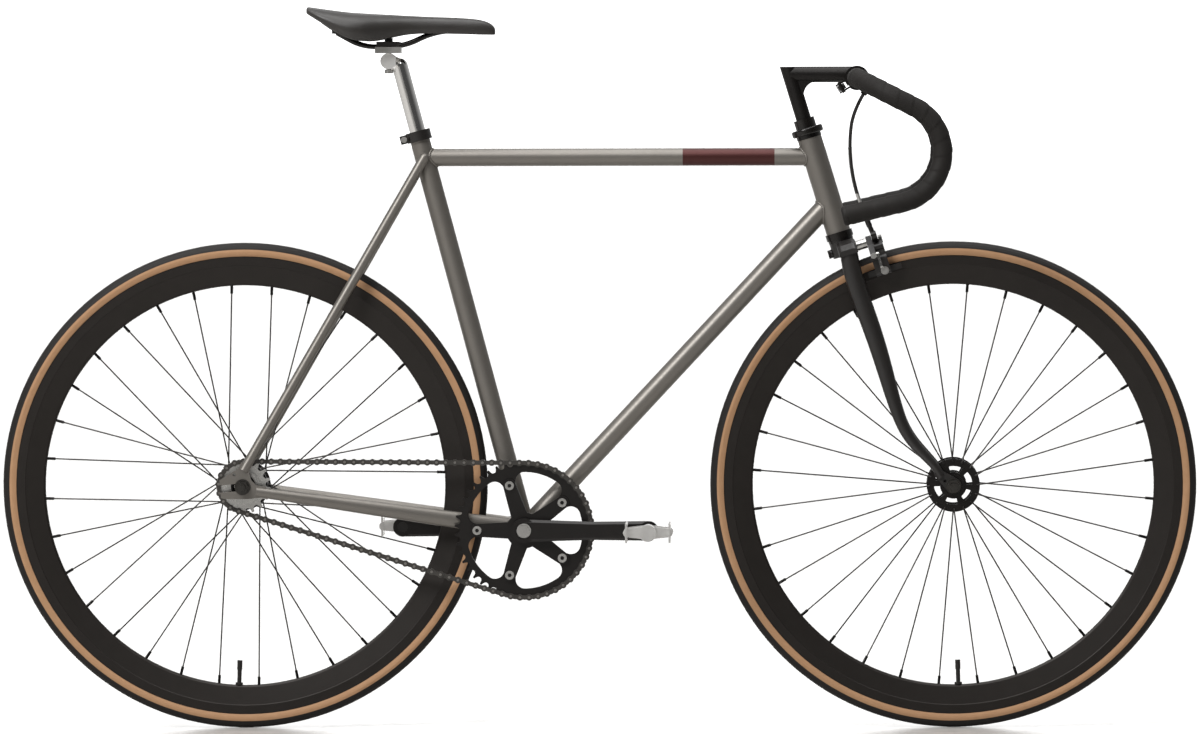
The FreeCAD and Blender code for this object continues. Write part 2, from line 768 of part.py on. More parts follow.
def headset_cups():
    """Lower and upper cups, pressed into the head tube."""
    bore = STEERER_DIAMETER / 2.0 + 0.5
    press = HEAD_TUBE_BORE / 2.0
    outer = CUP_DIAMETER / 2.0
    ball_span = HEADSET_BALL_DIAMETER + 2.0 * RUNNING_GAP
    lower_seat = HEAD_BOTTOM - CUP_RIM_HEIGHT
    lower = rod(steer(lower_seat), steer(HEAD_BOTTOM), outer)
    lower = lower.fuse(rod(steer(HEAD_BOTTOM), steer(HEAD_BOTTOM + CUP_PRESS_DEPTH), press))
    skirt = tube(steer(lower_seat - ball_span), steer(lower_seat), outer, outer - 1.2)
    lower = lower.fuse(skirt).cut(rod(steer(lower_seat), steer(HEAD_BOTTOM + CUP_PRESS_DEPTH), bore))
    upper = rod(steer(HEAD_TOP), steer(UPPER_SEAT), outer - 1.6)
    upper = upper.fuse(rod(steer(HEAD_TOP - CUP_PRESS_DEPTH), steer(HEAD_TOP), press))
    upper = upper.cut(rod(steer(HEAD_TOP - CUP_PRESS_DEPTH), steer(UPPER_SEAT), bore))
    return Part.makeCompound([lower.removeSplitter(), upper.removeSplitter()])


def ball_ring(centre, axis, circle, diameter, count):
    """Ring of separate bearing balls about an axis."""
    along = unit(axis)
    first = unit(Vec(along.z, along.x, along.y).cross(along))
    second = along.cross(first)
    balls = []
    for index in range(count):
        turn = 2.0 * math.pi * index / count
        place = centre + first * (circle * math.cos(turn)) + second * (circle * math.sin(turn))
        balls.append(Part.makeSphere(diameter / 2.0, place))
    return balls


def bracket_ball_circle():
    """Radius of the bottom bracket's ball circle."""
    return SPINDLE_RADIUS + RUNNING_GAP + BRACKET_BALL_DIAMETER / 2.0


def bracket_ball_side():
    """Distance of each bottom bracket ball ring from the middle."""
    return SHELL_WIDTH / 2.0 - 6.0


def hub_ball_circle(cone, diameter):
    """Radius of a hub's ball circle."""
    return cone + RUNNING_GAP + diameter / 2.0


REAR_BALL_SIDE = DROPOUT_INNER - 11.0
FRONT_BALL_SIDE = FORK_INNER - 10.0


def bearing_balls():
    """Loose balls of the headset, the bottom bracket and the rear hub."""
    half = HEADSET_BALL_DIAMETER / 2.0 + RUNNING_GAP
    lower = steer(HEAD_BOTTOM - CUP_RIM_HEIGHT - half)
    upper = steer(UPPER_SEAT + half)
    balls = ball_ring(lower, STEER_UP, HEADSET_BALL_CIRCLE, HEADSET_BALL_DIAMETER, HEADSET_BALL_COUNT)
    balls += ball_ring(upper, STEER_UP, HEADSET_BALL_CIRCLE, HEADSET_BALL_DIAMETER, HEADSET_BALL_COUNT)
    circle = hub_ball_circle(REAR_CONE_RADIUS, REAR_BALL_DIAMETER)
    for side in SIDES:
        centre = BRACKET + Y_AXIS * (side * bracket_ball_side())
        balls += ball_ring(centre, Y_AXIS, bracket_ball_circle(), BRACKET_BALL_DIAMETER, BRACKET_BALL_COUNT)
        centre = REAR_AXLE + Y_AXIS * (side * REAR_BALL_SIDE)
        balls += ball_ring(centre, Y_AXIS, circle, REAR_BALL_DIAMETER, REAR_BALL_COUNT)
    return Part.makeCompound(balls)


def bottom_bracket_cups():
    """Right and left threaded cups."""
    half = SHELL_WIDTH / 2.0
    track = bracket_ball_circle() + BRACKET_BALL_DIAMETER / 2.0 + RUNNING_GAP
    window = SPINDLE_RADIUS + 1.5
    depth = half - bracket_ball_side() + BRACKET_BALL_DIAMETER
    cups = []
    for side in SIDES:
        outer_face = side * (half + BRACKET_CUP_FLANGE)
        inner_face = side * (half - depth)
        body = cross_rod(BRACKET, inner_face, side * half, SHELL_BORE / 2.0 - FIT_GAP)
        flange = cross_rod(BRACKET, side * half, outer_face, SHELL_DIAMETER / 2.0 - 0.8)
        race_end = side * (bracket_ball_side() + BRACKET_BALL_DIAMETER / 2.0 + RUNNING_GAP)
        race = cross_rod(BRACKET, inner_face, race_end, track)
        cups.append(body.fuse(flange).cut([race, cross_rod(BRACKET, inner_face, outer_face, window)]))
    return Part.makeCompound(cups)


def seat_clamp():
    """Split collar with two ears at the back, and its bolt."""
    inner = SEAT_TUBE_DIAMETER / 2.0
    outer = inner + COLLAR_WALL
    bottom = SEAT_TOP - COLLAR_HEIGHT + 3.0
    top = SEAT_TOP + 3.0
    ear_reach = outer + 9.0
    ear_half = 8.0
    slot_half = 1.0
    bolt_radius = 2.5
    bolt_back = outer + 3.6
    bolt_up = (bottom + top) / 2.0
    corners = [(0.0, -ear_half), (ear_reach, -ear_half), (ear_reach, ear_half), (0.0, ear_half)]
    ears = prism([seat(bottom + 1.0, back, side) for back, side in corners], SEAT_UP * (COLLAR_HEIGHT - 2.0))
    slot_corners = [(0.0, -slot_half), (ear_reach, -slot_half), (ear_reach, slot_half), (0.0, slot_half)]
    slot = prism([seat(bottom, back, side) for back, side in slot_corners], SEAT_UP * COLLAR_HEIGHT)
    bore = rod(seat(bottom), seat(SEAT_TOP), inner)
    lip = rod(seat(SEAT_TOP), seat(top), POST_RADIUS + SOFT_GAP)
    bolt_line = rod(seat(bolt_up, bolt_back, -ear_half), seat(bolt_up, bolt_back, ear_half), bolt_radius)
    collar = rod(seat(bottom), seat(top), outer).fuse(ears).cut([slot, bore, lip, bolt_line])
    head = rod(seat(bolt_up, bolt_back, -ear_half - 4.5), seat(bolt_up, bolt_back, -ear_half), 4.2)
    nut = rod(seat(bolt_up, bolt_back, ear_half), seat(bolt_up, bolt_back, ear_half + 4.0), 4.2)
    bolt = bolt_line.fuse([head, nut]).removeSplitter()
    return Part.makeCompound([collar, bolt])


def axle_set(axle, radius, hub_width, plate, cone_radius, ball_side):
    """Axle with a cone and lock washer inside each dropout and a washer and nut outside."""
    face = hub_width / 2.0
    washer_face = face + plate
    nut_face = washer_face + WASHER_THICKNESS
    thread_end = nut_face + AXLE_NUT_HEIGHT
    neck_end = thread_end + AXLE_NECK_LENGTH
    end = neck_end + AXLE_TIP_LENGTH
    ends = []
    for side in SIDES:
        ends.append(cross_rod(axle, side * (thread_end - 1.0), side * neck_end, radius - AXLE_NECK_STEP))
        ends.append(cross_rod(axle, side * neck_end, side * end, radius - AXLE_TIP_STEP))
    solids = [cross_rod(axle, -thread_end, thread_end, radius).fuse(ends)]
    bore = radius + FIT_GAP
    for side in SIDES:
        cone = cross_ring(axle, side * (ball_side - 5.0), side * (face - 3.0), cone_radius, bore)
        lock = cross_ring(axle, side * (face - 3.0), side * face, cone_radius + 1.2, bore)
        washer = cross_ring(axle, side * washer_face, side * nut_face, radius + 6.0, bore)
        nut = hexagon(axle + Y_AXIS * (side * nut_face), Y_AXIS * side, AXLE_NUT_FLATS, AXLE_NUT_HEIGHT)
        nut = nut.cut(cross_rod(axle, side * nut_face, side * end, bore))
        solids += [cone, lock, washer, nut]
    return Part.makeCompound(solids)


def rear_axle():
    """Rear axle in the track ends."""
    return axle_set(REAR_AXLE, REAR_AXLE_DIAMETER / 2.0, REAR_HUB_WIDTH, DROPOUT_THICKNESS,
                    REAR_CONE_RADIUS, REAR_BALL_SIDE)


def chain_place(travel):
    """Point of the chain loop in the bicycle's frame."""
    u, v = CHAIN.point(travel)
    ahead = polar(-math.degrees(CHAIN_SLOPE))
    upward = polar(90.0 - math.degrees(CHAIN_SLOPE))
    return REAR_AXLE + ahead * u + upward * v


CHAIN_PINS = [chain_place(travel) for travel in CHAIN.pins()[:-1]]


def chain_plate(ends, face, depth):
    """Side plate with a round eye at each pin and a narrower waist between them."""
    rise = Y_AXIS * face
    aside = unit(ends[1] - ends[0]).cross(Y_AXIS) * (CHAIN_PLATE_WAIST / 2.0)
    waist = prism([
        ends[0] + rise + aside,
        ends[1] + rise + aside,
        ends[1] + rise - aside,
        ends[0] + rise - aside,
    ], Y_AXIS * depth)
    eyes = [cross_rod(end, face, face + depth, CHAIN_PLATE_HEIGHT / 2.0) for end in ends]
    return waist.fuse(eyes).removeSplitter()


def chain_links(first, inside):
    """Every second link of the chain: outer plates with pins, or inner plates with rollers."""
    inner_face = ROLLER_WIDTH / 2.0 + (0.0 if inside else CHAIN_PLATE + RUNNING_GAP)
    pin_reach = inner_face + CHAIN_PLATE + 0.5
    middle = -CHAINLINE
    bore = CHAIN_PIN_RADIUS + RUNNING_GAP
    links = []
    for index in range(first, CHAIN_PITCHES, 2):
        ends = (CHAIN_PINS[index], CHAIN_PINS[(index + 1) % CHAIN_PITCHES])
        pieces = []
        for side in SIDES:
            pieces.append(chain_plate(ends, middle + side * inner_face, side * CHAIN_PLATE))
        for end in ends:
            if inside:
                half = ROLLER_WIDTH / 2.0
                pieces.append(cross_rod(end, middle - half, middle + half, ROLLER_DIAMETER / 2.0))
            else:
                pieces.append(cross_rod(end, middle - pin_reach, middle + pin_reach, CHAIN_PIN_RADIUS))
        link = pieces[0].fuse(pieces[1:])
        if inside:
            link = link.cut([cross_rod(end, middle - pin_reach, middle + pin_reach, bore) for end in ends])
        links.append(link)
    return Part.makeCompound(links)


def chain_outer_links():
    """Outer links with their riveted pins."""
    return chain_links(1, False)


def chain_inner_links():
    """Inner links with their rollers."""
    return chain_links(0, True)


# Seatpost and saddle
def at_saddle(ahead, side, up):
    """Point measured from the saddle clamp."""
    return RAIL_CENTRE + Vec(ahead, side, up)


def rail_bars():
    """Right and left saddle rails as solid bars."""
    bars = []
    for side in SIDES:
        points = [at_saddle(ahead, side * half, up) for ahead, half, up in RAIL_ROUTE]
        path = rounded_path(points, easy_radii(points))
        bars.append(pipe(path, points[0], points[1] - points[0], RAIL_DIAMETER / 2.0))
    return bars


POST_TOP = SEAT_TOP + POST_SHOWING
POST_HEAD_DROP = CRADLE_HEIGHT + POST_HEAD_RADIUS


def clamp_bolt():
    """Bolt down through the saddle clamp and the post's head."""
    top = at_saddle(0, 0, CLAMP_TOP_HEIGHT)
    bottom = at_saddle(0, 0, -POST_HEAD_DROP - POST_HEAD_RADIUS - 6.0)
    shank = rod(bottom, top, CLAMP_BOLT_RADIUS)
    head = rod(top, top + Z_AXIS * 5.0, CLAMP_BOLT_RADIUS + 2.2)
    nut = rod(bottom, bottom + Z_AXIS * 5.5, CLAMP_BOLT_RADIUS + 2.4)
    return shank.fuse([head, nut]).removeSplitter()


def seatpost():
    """Polished post with a setback head."""
    bottom = SEAT_TOP - POST_INSERT
    bend = seat(POST_TOP)
    head_centre = at_saddle(0, 0, -POST_HEAD_DROP)
    post = rod(seat(bottom), bend, POST_RADIUS)
    neck = rod(bend, head_centre, POST_RADIUS - 1.0)
    joint = Part.makeSphere(POST_RADIUS, bend)
    half = CRADLE_WIDTH / 2.0 - 9.0
    head = cross_rod(head_centre, -half, half, POST_HEAD_RADIUS)
    body = post.fuse([joint, neck, head])
    bore = rod(seat(bottom), seat(POST_TOP - 12.0), POST_RADIUS - POST_WALL)
    drop = POST_HEAD_DROP + POST_HEAD_RADIUS + 6.0
    bolt_way = rod(at_saddle(0, 0, -drop), at_saddle(0, 0, 0), CLAMP_BOLT_RADIUS + 3.0)
    bolt_hole = rod(at_saddle(0, 0, -POST_HEAD_DROP), at_saddle(0, 0, 0), CLAMP_BOLT_RADIUS + FIT_GAP)
    recess = bolt_way.common(rod(at_saddle(0, 0, -drop), at_saddle(0, 0, -POST_HEAD_DROP), 20.0))
    return body.cut([bore, bolt_hole, recess])


def saddle_clamp():
    """Lower cradle, upper plate and bolt that hold the rails."""
    half_length = CRADLE_LENGTH / 2.0
    half_width = CRADLE_WIDTH / 2.0
    rails = rail_bars()
    way = rod(at_saddle(0, 0, -CRADLE_HEIGHT), at_saddle(0, 0, CLAMP_TOP_HEIGHT), CLAMP_BOLT_RADIUS + FIT_GAP)
    cradle = Part.makeBox(CRADLE_LENGTH, CRADLE_WIDTH, CRADLE_HEIGHT - 0.4,
                          at_saddle(-half_length, -half_width, -CRADLE_HEIGHT))
    plate = Part.makeBox(CRADLE_LENGTH - 4.0, CRADLE_WIDTH, CLAMP_TOP_HEIGHT - 0.4,
                         at_saddle(-half_length + 2.0, -half_width, 0.4))
    return Part.makeCompound([cradle.cut(rails + [way]), plate.cut(rails + [way]), clamp_bolt()])


def saddle_rails():
    """Pair of rails under the saddle."""
    return Part.makeCompound(rail_bars())


def saddle_section(ahead, half, top, low):
    """Cross-section of the saddle: flat below, drawn-in sides and a crowned top."""
    height = top - low
    foot = half * 0.9
    brow = half * 0.84
    waist = low + 0.5 * height
    shoulder = top - 0.2 * height
    left_foot = at_saddle(ahead, -foot, low)
    right_foot = at_saddle(ahead, foot, low)
    left_brow = at_saddle(ahead, -brow, shoulder)
    right_brow = at_saddle(ahead, brow, shoulder)
    return Part.Wire([
        Part.LineSegment(left_foot, right_foot).toShape(),
        Part.Arc(right_foot, at_saddle(ahead, half, waist), right_brow).toShape(),
        Part.Arc(right_brow, at_saddle(ahead, 0, top), left_brow).toShape(),
        Part.Arc(left_brow, at_saddle(ahead, -half, waist), left_foot).toShape(),
    ])


def saddle_loft(stations):
    """Solid through a row of saddle sections."""
    return Part.makeLoft([saddle_section(*station) for station in stations], True, False)


def inset_stations(top_inset, side_inset, lower, start, end):
    """Saddle stations shrunk under the cover and cut short at tail and nose."""
    stations = []
    for ahead, half, top, low in SADDLE_STATIONS[1:-1]:
        place = min(max(ahead, start), end)
        stations.append((place, half - side_inset, top - top_inset, low - lower))
    return stations


def saddle_cover():
    """Padded cover over the shell."""
    tail = SADDLE_STATIONS[1][0]
    nose = SADDLE_STATIONS[-2][0]
    hollow = saddle_loft(inset_stations(SADDLE_FOAM, SADDLE_SIDE, 4.0, tail, nose))
    return saddle_loft(SADDLE_STATIONS).cut(hollow)


def saddle_base():
    """Moulded shell inside the cover, with sockets for the rails."""
    tail = SADDLE_STATIONS[1][0] + SOFT_GAP
    nose = SADDLE_STATIONS[-2][0] - SOFT_GAP
    foam = SADDLE_FOAM + SOFT_GAP
    side = SADDLE_SIDE + 2.0 * SOFT_GAP
    outer = saddle_loft(inset_stations(foam, side, 4.0, tail, nose)).common(saddle_loft(SADDLE_STATIONS))
    hollow = saddle_loft(inset_stations(foam + SADDLE_SHELL, side + SADDLE_SHELL, 6.0,
                                        tail + SADDLE_SHELL, RAIL_SOCKET_START))
    body = outer.cut(hollow)
    rails = rail_bars()
    ahead, half, up = RAIL_ROUTE[0]
    roof = SADDLE_STATIONS[2][2] - foam - SADDLE_SHELL
    for hand in SIDES:
        boss_foot = at_saddle(ahead, hand * half, up - RAIL_BOSS_DROP)
        boss = rod(boss_foot, at_saddle(ahead, hand * half, roof), RAIL_DIAMETER)
        body = body.fuse(boss)
    return body.cut(rails)


# Fork, headset and steering
def caliper_bolt_line():
    """Line of the calliper's centre bolt, through the crown."""
    back = CROWN_SOCKET_RADIUS + WASHER_THICKNESS + CALIPER_NUT_HEIGHT
    return steer(CALIPER_PIVOT, -back), steer(CALIPER_PIVOT, CALIPER_REAR_FACE + 2.0 * CALIPER_PLATE + 1.0)


def steerer_tube():
    """Steerer from the crown to the lock nut, drilled for the brake bolt."""
    start, end = caliper_bolt_line()
    body = tube(steer(CROWN_BOTTOM), steer(STEERER_TOP), STEERER_DIAMETER / 2.0, STEERER_BORE / 2.0)
    return body.cut(rod(start, end, CALIPER_BOLT_RADIUS + FIT_GAP))


def fork_crown():
    """Sloping crown that carries the blades and the steerer."""
    half_span = BLADE_TOP_SPACING / 2.0 + BLADE_TOP_WIDTH / 2.0 + 1.5
    back = BLADE_OFFSET - CROWN_DEPTH / 2.0
    outline = (
        (-half_span, CROWN_BOTTOM),
        (half_span, CROWN_BOTTOM),
        (half_span, CROWN_BOTTOM + 0.35 * CROWN_HEIGHT),
        (half_span - 9.0, CROWN_TOP - 0.3 * CROWN_HEIGHT),
        (STEERER_DIAMETER / 2.0 + 5.0, CROWN_TOP),
        (-STEERER_DIAMETER / 2.0 - 5.0, CROWN_TOP),
        (-half_span + 9.0, CROWN_TOP - 0.3 * CROWN_HEIGHT),
        (-half_span, CROWN_BOTTOM + 0.35 * CROWN_HEIGHT),
    )
    body = prism([steer(up, back, side) for side, up in outline], STEER_AHEAD * CROWN_DEPTH)
    rounded = []
    for edge in body.Edges:
        middle = edge.CenterOfMass
        above = (middle - STEER_FOOT).dot(STEER_UP) - CROWN_BOTTOM
        outward = middle.distanceToPoint(steer(CROWN_BOTTOM))
        if edge.BoundBox.YLength > 1.0 and abs(above) > 2.0 and outward > 8.0:
            rounded.append(edge)
    body = body.makeFillet(CROWN_FILLET, rounded)
    socket = rod(steer(CROWN_BOTTOM), steer(CROWN_TOP), CROWN_SOCKET_RADIUS)
    steerer = rod(steer(CROWN_BOTTOM), steer(CROWN_TOP), STEERER_DIAMETER / 2.0)
    start, end = caliper_bolt_line()
    return body.fuse(socket).cut([steerer, rod(start, end, CALIPER_BOLT_RADIUS + FIT_GAP)])


BEND = math.radians(BLADE_BEND_ANGLE)
BEND_CORNER = (FORK_RAKE - BLADE_TIP_LEAD - BLADE_OFFSET) / math.tan(BEND)
BEND_CUT = BLADE_BEND_RADIUS * math.tan(BEND / 2.0)


def blade_line(up):
    """How far ahead the blade's axis is at a height, and its lean there."""
    start = BEND_CORNER + BEND_CUT
    end = BEND_CORNER - BEND_CUT * math.cos(BEND)
    if up >= start:
        return BLADE_OFFSET, 0.0
    if up > end:
        lean = math.asin((start - up) / BLADE_BEND_RADIUS)
        return BLADE_OFFSET + BLADE_BEND_RADIUS * (1.0 - math.cos(lean)), lean
    return BLADE_OFFSET + (BEND_CORNER - up) * math.tan(BEND), BEND


def blade_solid(side, shrink, lowest):
    """One raked blade, oval at the crown and round at the tip."""
    top = CROWN_BOTTOM
    tip = BLADE_TIP_DIAMETER / 2.0
    heights = [top, 0.68 * top, 0.46 * top, BEND_CORNER + BEND_CUT, BEND_CORNER,
               BEND_CORNER - BEND_CUT, BLADE_END_ABOVE_AXLE]
    tip_side = FORK_INNER + FORK_DROPOUT_THICKNESS / 2.0
    wires = []
    for up in heights:
        if up < lowest:
            continue
        share = (top - up) / (top - BLADE_END_ABOVE_AXLE)
        taper = min(1.0, max(0.0, (share - 0.45) / 0.55)) ** 0.75
        deep = (BLADE_TOP_DEPTH / 2.0) * (1.0 - taper) + tip * taper - shrink
        wide = (BLADE_TOP_WIDTH / 2.0) * (1.0 - share) + 0.96 * tip * share - shrink
        ahead, lean = blade_line(up)
        across = STEER_AHEAD * math.cos(lean) + STEER_UP * math.sin(lean)
        offset = side * (BLADE_TOP_SPACING / 2.0 * (1.0 - share) + tip_side * share)
        wires.append(ellipse_wire(steer(up, ahead, offset), across * deep, Y_AXIS * wide))
    return Part.makeLoft(wires, True, False)


def fork_blades():
    """Right and left blades, each with its dropout plate."""
    blades = []
    down = STEER_UP * -1.0
    for side in SIDES:
        body = blade_solid(side, 0.0, 0.0)
        body = body.cut(blade_solid(side, BLADE_WALL, BEND_CORNER))
        root_up = BLADE_END_ABOVE_AXLE + 6.0
        root = steer(root_up, blade_line(root_up)[0], side * FORK_INNER)
        depth = Y_AXIS * (side * FORK_DROPOUT_THICKNESS)
        axle = FRONT_AXLE + Y_AXIS * (side * FORK_INNER)
        plate = tapered_bar(root, BLADE_TIP_DIAMETER / 2.0, axle, FORK_DROPOUT_RADIUS, depth)
        slot_radius = FRONT_AXLE_DIAMETER / 2.0 + RUNNING_GAP
        slot = tapered_bar(axle, slot_radius, axle + down * (2.0 * FORK_DROPOUT_RADIUS), slot_radius, depth)
        eyelet = steer(FRONT_EYELET_UP, FORK_RAKE - FRONT_EYELET_BACK)
        hole = cross_rod(eyelet, side * FORK_INNER, side * FORK_OUTER, EYELET_RADIUS)
        blades.append(body.fuse(plate).cut([slot, hole]))
    return Part.makeCompound(blades)


def headset_races():
    """Crown race, screwed top race and lock nut, all on the steerer."""
    bore = STEERER_DIAMETER / 2.0 + FIT_GAP
    ball_span = HEADSET_BALL_DIAMETER + 2.0 * RUNNING_GAP
    crown_top = HEAD_BOTTOM - CUP_RIM_HEIGHT - ball_span
    crown = tube(steer(CROWN_TOP), steer(crown_top), CUP_DIAMETER / 2.0 - 1.6, bore)
    outer = TOP_RACE_DIAMETER / 2.0
    race = tube(steer(UPPER_RACE - ball_span), steer(LOCK_NUT_BOTTOM), outer, bore)
    pocket = rod(steer(UPPER_RACE - ball_span), steer(UPPER_RACE), CUP_DIAMETER / 2.0 - 1.6 + SOFT_GAP)
    race = race.cut(pocket)
    rims = [edge for edge in race.Edges if edge.Closed and abs(edge.Length - 2.0 * math.pi * outer) < 0.1]
    race = race.makeFillet(2.5, rims)
    nut = tube(steer(LOCK_NUT_BOTTOM), steer(STEERER_TOP), LOCK_NUT_DIAMETER / 2.0, bore)
    return Part.makeCompound([crown, race, nut])


def stem_bolt_line():
    """Line of the expander bolt down the quill."""
    return steer(STEERER_TOP - QUILL_INSERT - 14.0), steer(STEM_AXIS_HEIGHT + 4.0)


def stem_gusset():
    """Web that rounds the inner corner between quill and extension."""
    ahead = QUILL_DIAMETER / 2.0 - GUSSET_SINK
    start = Y_AXIS * (-GUSSET_WIDTH / 2.0)
    underside = STEM_CORNER.z - STEM_DIAMETER / 2.0 + GUSSET_SINK
    front = steer(STEM_AXIS_HEIGHT, ahead)
    inner = front + STEER_UP * ((underside - front.z) / STEER_UP.z) + start
    low = inner - STEER_UP * (1.5 * GUSSET_RADIUS)
    fore = inner + Vec(1.5 * GUSSET_RADIUS, 0, 0)
    corner = STEM_CORNER + start
    edges = list(rounded_path([low, inner, fore], [GUSSET_RADIUS]).Edges)
    edges.append(Part.LineSegment(fore, corner).toShape())
    edges.append(Part.LineSegment(corner, low).toShape())
    return Part.Face(Part.Wire(edges)).extrude(Y_AXIS * GUSSET_WIDTH)


def stem():
    """Quill stem with a level extension and a split bar clamp."""
    half = BAR_CLAMP_WIDTH / 2.0
    radius = STEM_DIAMETER / 2.0
    lid_size = 4.0 * STEM_DIAMETER
    lid = Part.makeBox(lid_size, lid_size, lid_size,
                       STEM_CORNER + Vec(-lid_size / 2.0, -lid_size / 2.0, radius - SOFT_GAP))
    quill_bottom = steer(STEERER_TOP - QUILL_INSERT)
    quill = rod(quill_bottom, steer(STEM_AXIS_HEIGHT + 2.0 * radius), QUILL_DIAMETER / 2.0).cut(lid)
    arm = rod(STEM_CORNER, BAR_CENTRE + Z_AXIS * BAR_DROP_BELOW_STEM, radius)
    clamp = cross_rod(BAR_CENTRE, -half, half, BAR_CLAMP_DIAMETER / 2.0)
    body = quill.fuse([arm, clamp, stem_gusset()])
    start, end = stem_bolt_line()
    bolt_way = rod(start, end + STEER_UP * (2.0 * STEM_DIAMETER), STEM_BOLT_RADIUS + FIT_GAP)
    head_way = rod(end - STEER_UP * 6.0, end + STEER_UP * (2.0 * STEM_DIAMETER), STEM_BOLT_RADIUS + 3.0)
    bar = cross_rod(BAR_CENTRE, -half, half, BAR_RADIUS)
    slit_way = polar(225.0)
    slit_aside = polar(135.0)
    slit_points = [
        BAR_CENTRE + slit_aside * 1.0 - Y_AXIS * half,
        BAR_CENTRE + slit_aside * 1.0 + slit_way * BAR_CLAMP_DIAMETER - Y_AXIS * half,
        BAR_CENTRE - slit_aside * 1.0 + slit_way * BAR_CLAMP_DIAMETER - Y_AXIS * half,
        BAR_CENTRE - slit_aside * 1.0 - Y_AXIS * half,
    ]
    slit = prism(slit_points, Y_AXIS * BAR_CLAMP_WIDTH)
    for cutter in (wedge_cutter(), slit, bar, head_way, bolt_way):
        body = body.cut(cutter)
    return body


def wedge_cutter():
    """Slanted block below the quill, which leaves room for the wedge."""
    radius = QUILL_DIAMETER / 2.0
    bottom = STEERER_TOP - QUILL_INSERT
    corners = (
        (bottom - 2.0, -radius - 1.0),
        (bottom + radius, -radius - 1.0),
        (bottom - 1.0, radius + 1.0),
        (bottom - 2.0, radius + 1.0),
    )
    return prism([steer(up, ahead, -radius - 1.0) for up, ahead in corners], Y_AXIS * (2.0 * radius + 2.0))


def stem_fasteners():
    """Expander bolt and its wedge inside the steerer."""
    start, end = stem_bolt_line()
    bolt = rod(start, end, STEM_BOLT_RADIUS)
    head = rod(end - STEER_UP * 6.0, end, STEM_BOLT_RADIUS + 2.6)
    socket = hexagon(end - STEER_UP * 4.0, STEER_UP, 6.0, 4.0)
    bolt = bolt.fuse(head).cut(socket).removeSplitter()
    bottom = STEERER_TOP - QUILL_INSERT
    block = rod(steer(bottom - 14.0), steer(bottom + QUILL_DIAMETER / 2.0), QUILL_DIAMETER / 2.0 - 0.3)
    keep = wedge_cutter().fuse(rod(steer(bottom - 14.0), steer(bottom - 2.0), QUILL_DIAMETER))
    wedge = block.common(keep).cut(rod(start, end, STEM_BOLT_RADIUS + FIT_GAP))
    return Part.makeCompound([bolt, wedge])


def bar_path(side, first, last_trim):
    """Centre line of one half of the drop bar, from a distance out along the top."""
    ramp = polar(-BAR_RAMP_ANGLE)
    ramp_aside = polar(-BAR_RAMP_ANGLE - 90.0)
    edge = BAR_CENTRE + Y_AXIS * (side * BAR_WIDTH / 2.0)
    bend_start = edge - Y_AXIS * (side * BAR_TOP_BEND)
    bend_end = edge + ramp * BAR_TOP_BEND
    bend_centre = bend_start + ramp * BAR_TOP_BEND
    bend_middle = bend_centre + unit(edge - bend_centre) * BAR_TOP_BEND
    hook_start = edge + ramp * BAR_RAMP_LENGTH
    hook_centre = hook_start + ramp_aside * BAR_HOOK_RADIUS
    tail_way = polar(180.0 + BAR_TAIL_ANGLE)
    hook_end = hook_centre + polar(270.0 + BAR_TAIL_ANGLE) * BAR_HOOK_RADIUS
    half_angle = (90.0 - BAR_RAMP_ANGLE - 90.0 + BAR_TAIL_ANGLE) / 2.0
    hook_middle = hook_centre + polar(half_angle) * BAR_HOOK_RADIUS
    tail_end = hook_end + tail_way * (BAR_TAIL_LENGTH - last_trim)
    start = BAR_CENTRE + Y_AXIS * (side * first)
    wire = Part.Wire([
        Part.LineSegment(start, bend_start).toShape(),
        Part.Arc(bend_start, bend_middle, bend_end).toShape(),
        Part.LineSegment(bend_end, hook_start).toShape(),
        Part.Arc(hook_start, hook_middle, hook_end).toShape(),
        Part.LineSegment(hook_end, tail_end).toShape(),
    ])
    return wire, start, tail_end, tail_way


def bar_half(side, first, radius):
    """One half of the bar as a solid of a given radius."""
    path, start, _, _ = bar_path(side, first, 0.0)
    return pipe(path, start, Y_AXIS * side, radius)


def handlebar():
    """Drop bar, one bent tube."""
    outer = bar_half(RIGHT, 0.0, BAR_RADIUS).fuse(bar_half(LEFT, 0.0, BAR_RADIUS))
    bore = BAR_RADIUS - BAR_WALL
    return outer.cut([bar_half(RIGHT, 0.0, bore), bar_half(LEFT, 0.0, bore)]).removeSplitter()


def bar_tape():
    """Right and left lengths of wound tape, as sleeves on the bar."""
    sleeves = []
    for side in SIDES:
        sleeves.append(bar_half(side, TAPE_START, TAPE_RADIUS).cut(bar_half(side, TAPE_START, BAR_RADIUS)))
    return Part.makeCompound(sleeves)


def bar_end_plugs():
    """Plugs that close the bar and hold the end of the tape."""
    plugs = []
    for side in SIDES:
        _, _, end, way = bar_path(side, 0.0, 0.0)
        body = rod(end - way * PLUG_LENGTH, end, BAR_RADIUS - BAR_WALL - FIT_GAP)
        lip = rod(end, end + way * PLUG_LIP, TAPE_RADIUS)
        rims = [edge for edge in lip.Edges if edge.Closed and edge.CenterOfMass.distanceToPoint(end) > 1.0]
        lip = lip.makeFillet(0.7 * PLUG_LIP, rims)
        plugs.append(body.fuse(lip))
    return Part.makeCompound(plugs)


# Brake
def lever_point(out, side, along_axis=0.0):
    """Point measured from the bar at the lever: away from the bar, along it, along the pivot."""
    return BAR_CENTRE + LEVER_OUT * out + Y_AXIS * side + LEVER_AXIS * along_axis


EAR_GAP = LEVER_THICKNESS / 2.0 + SOFT_GAP
EAR_THICKNESS = 2.6
EAR_RADIUS = 6.0


def cable_way():
    """Direction in which the cable leaves the bracket."""
    return unit(CABLE_ROUTE[1] - CABLE_ROUTE[0])


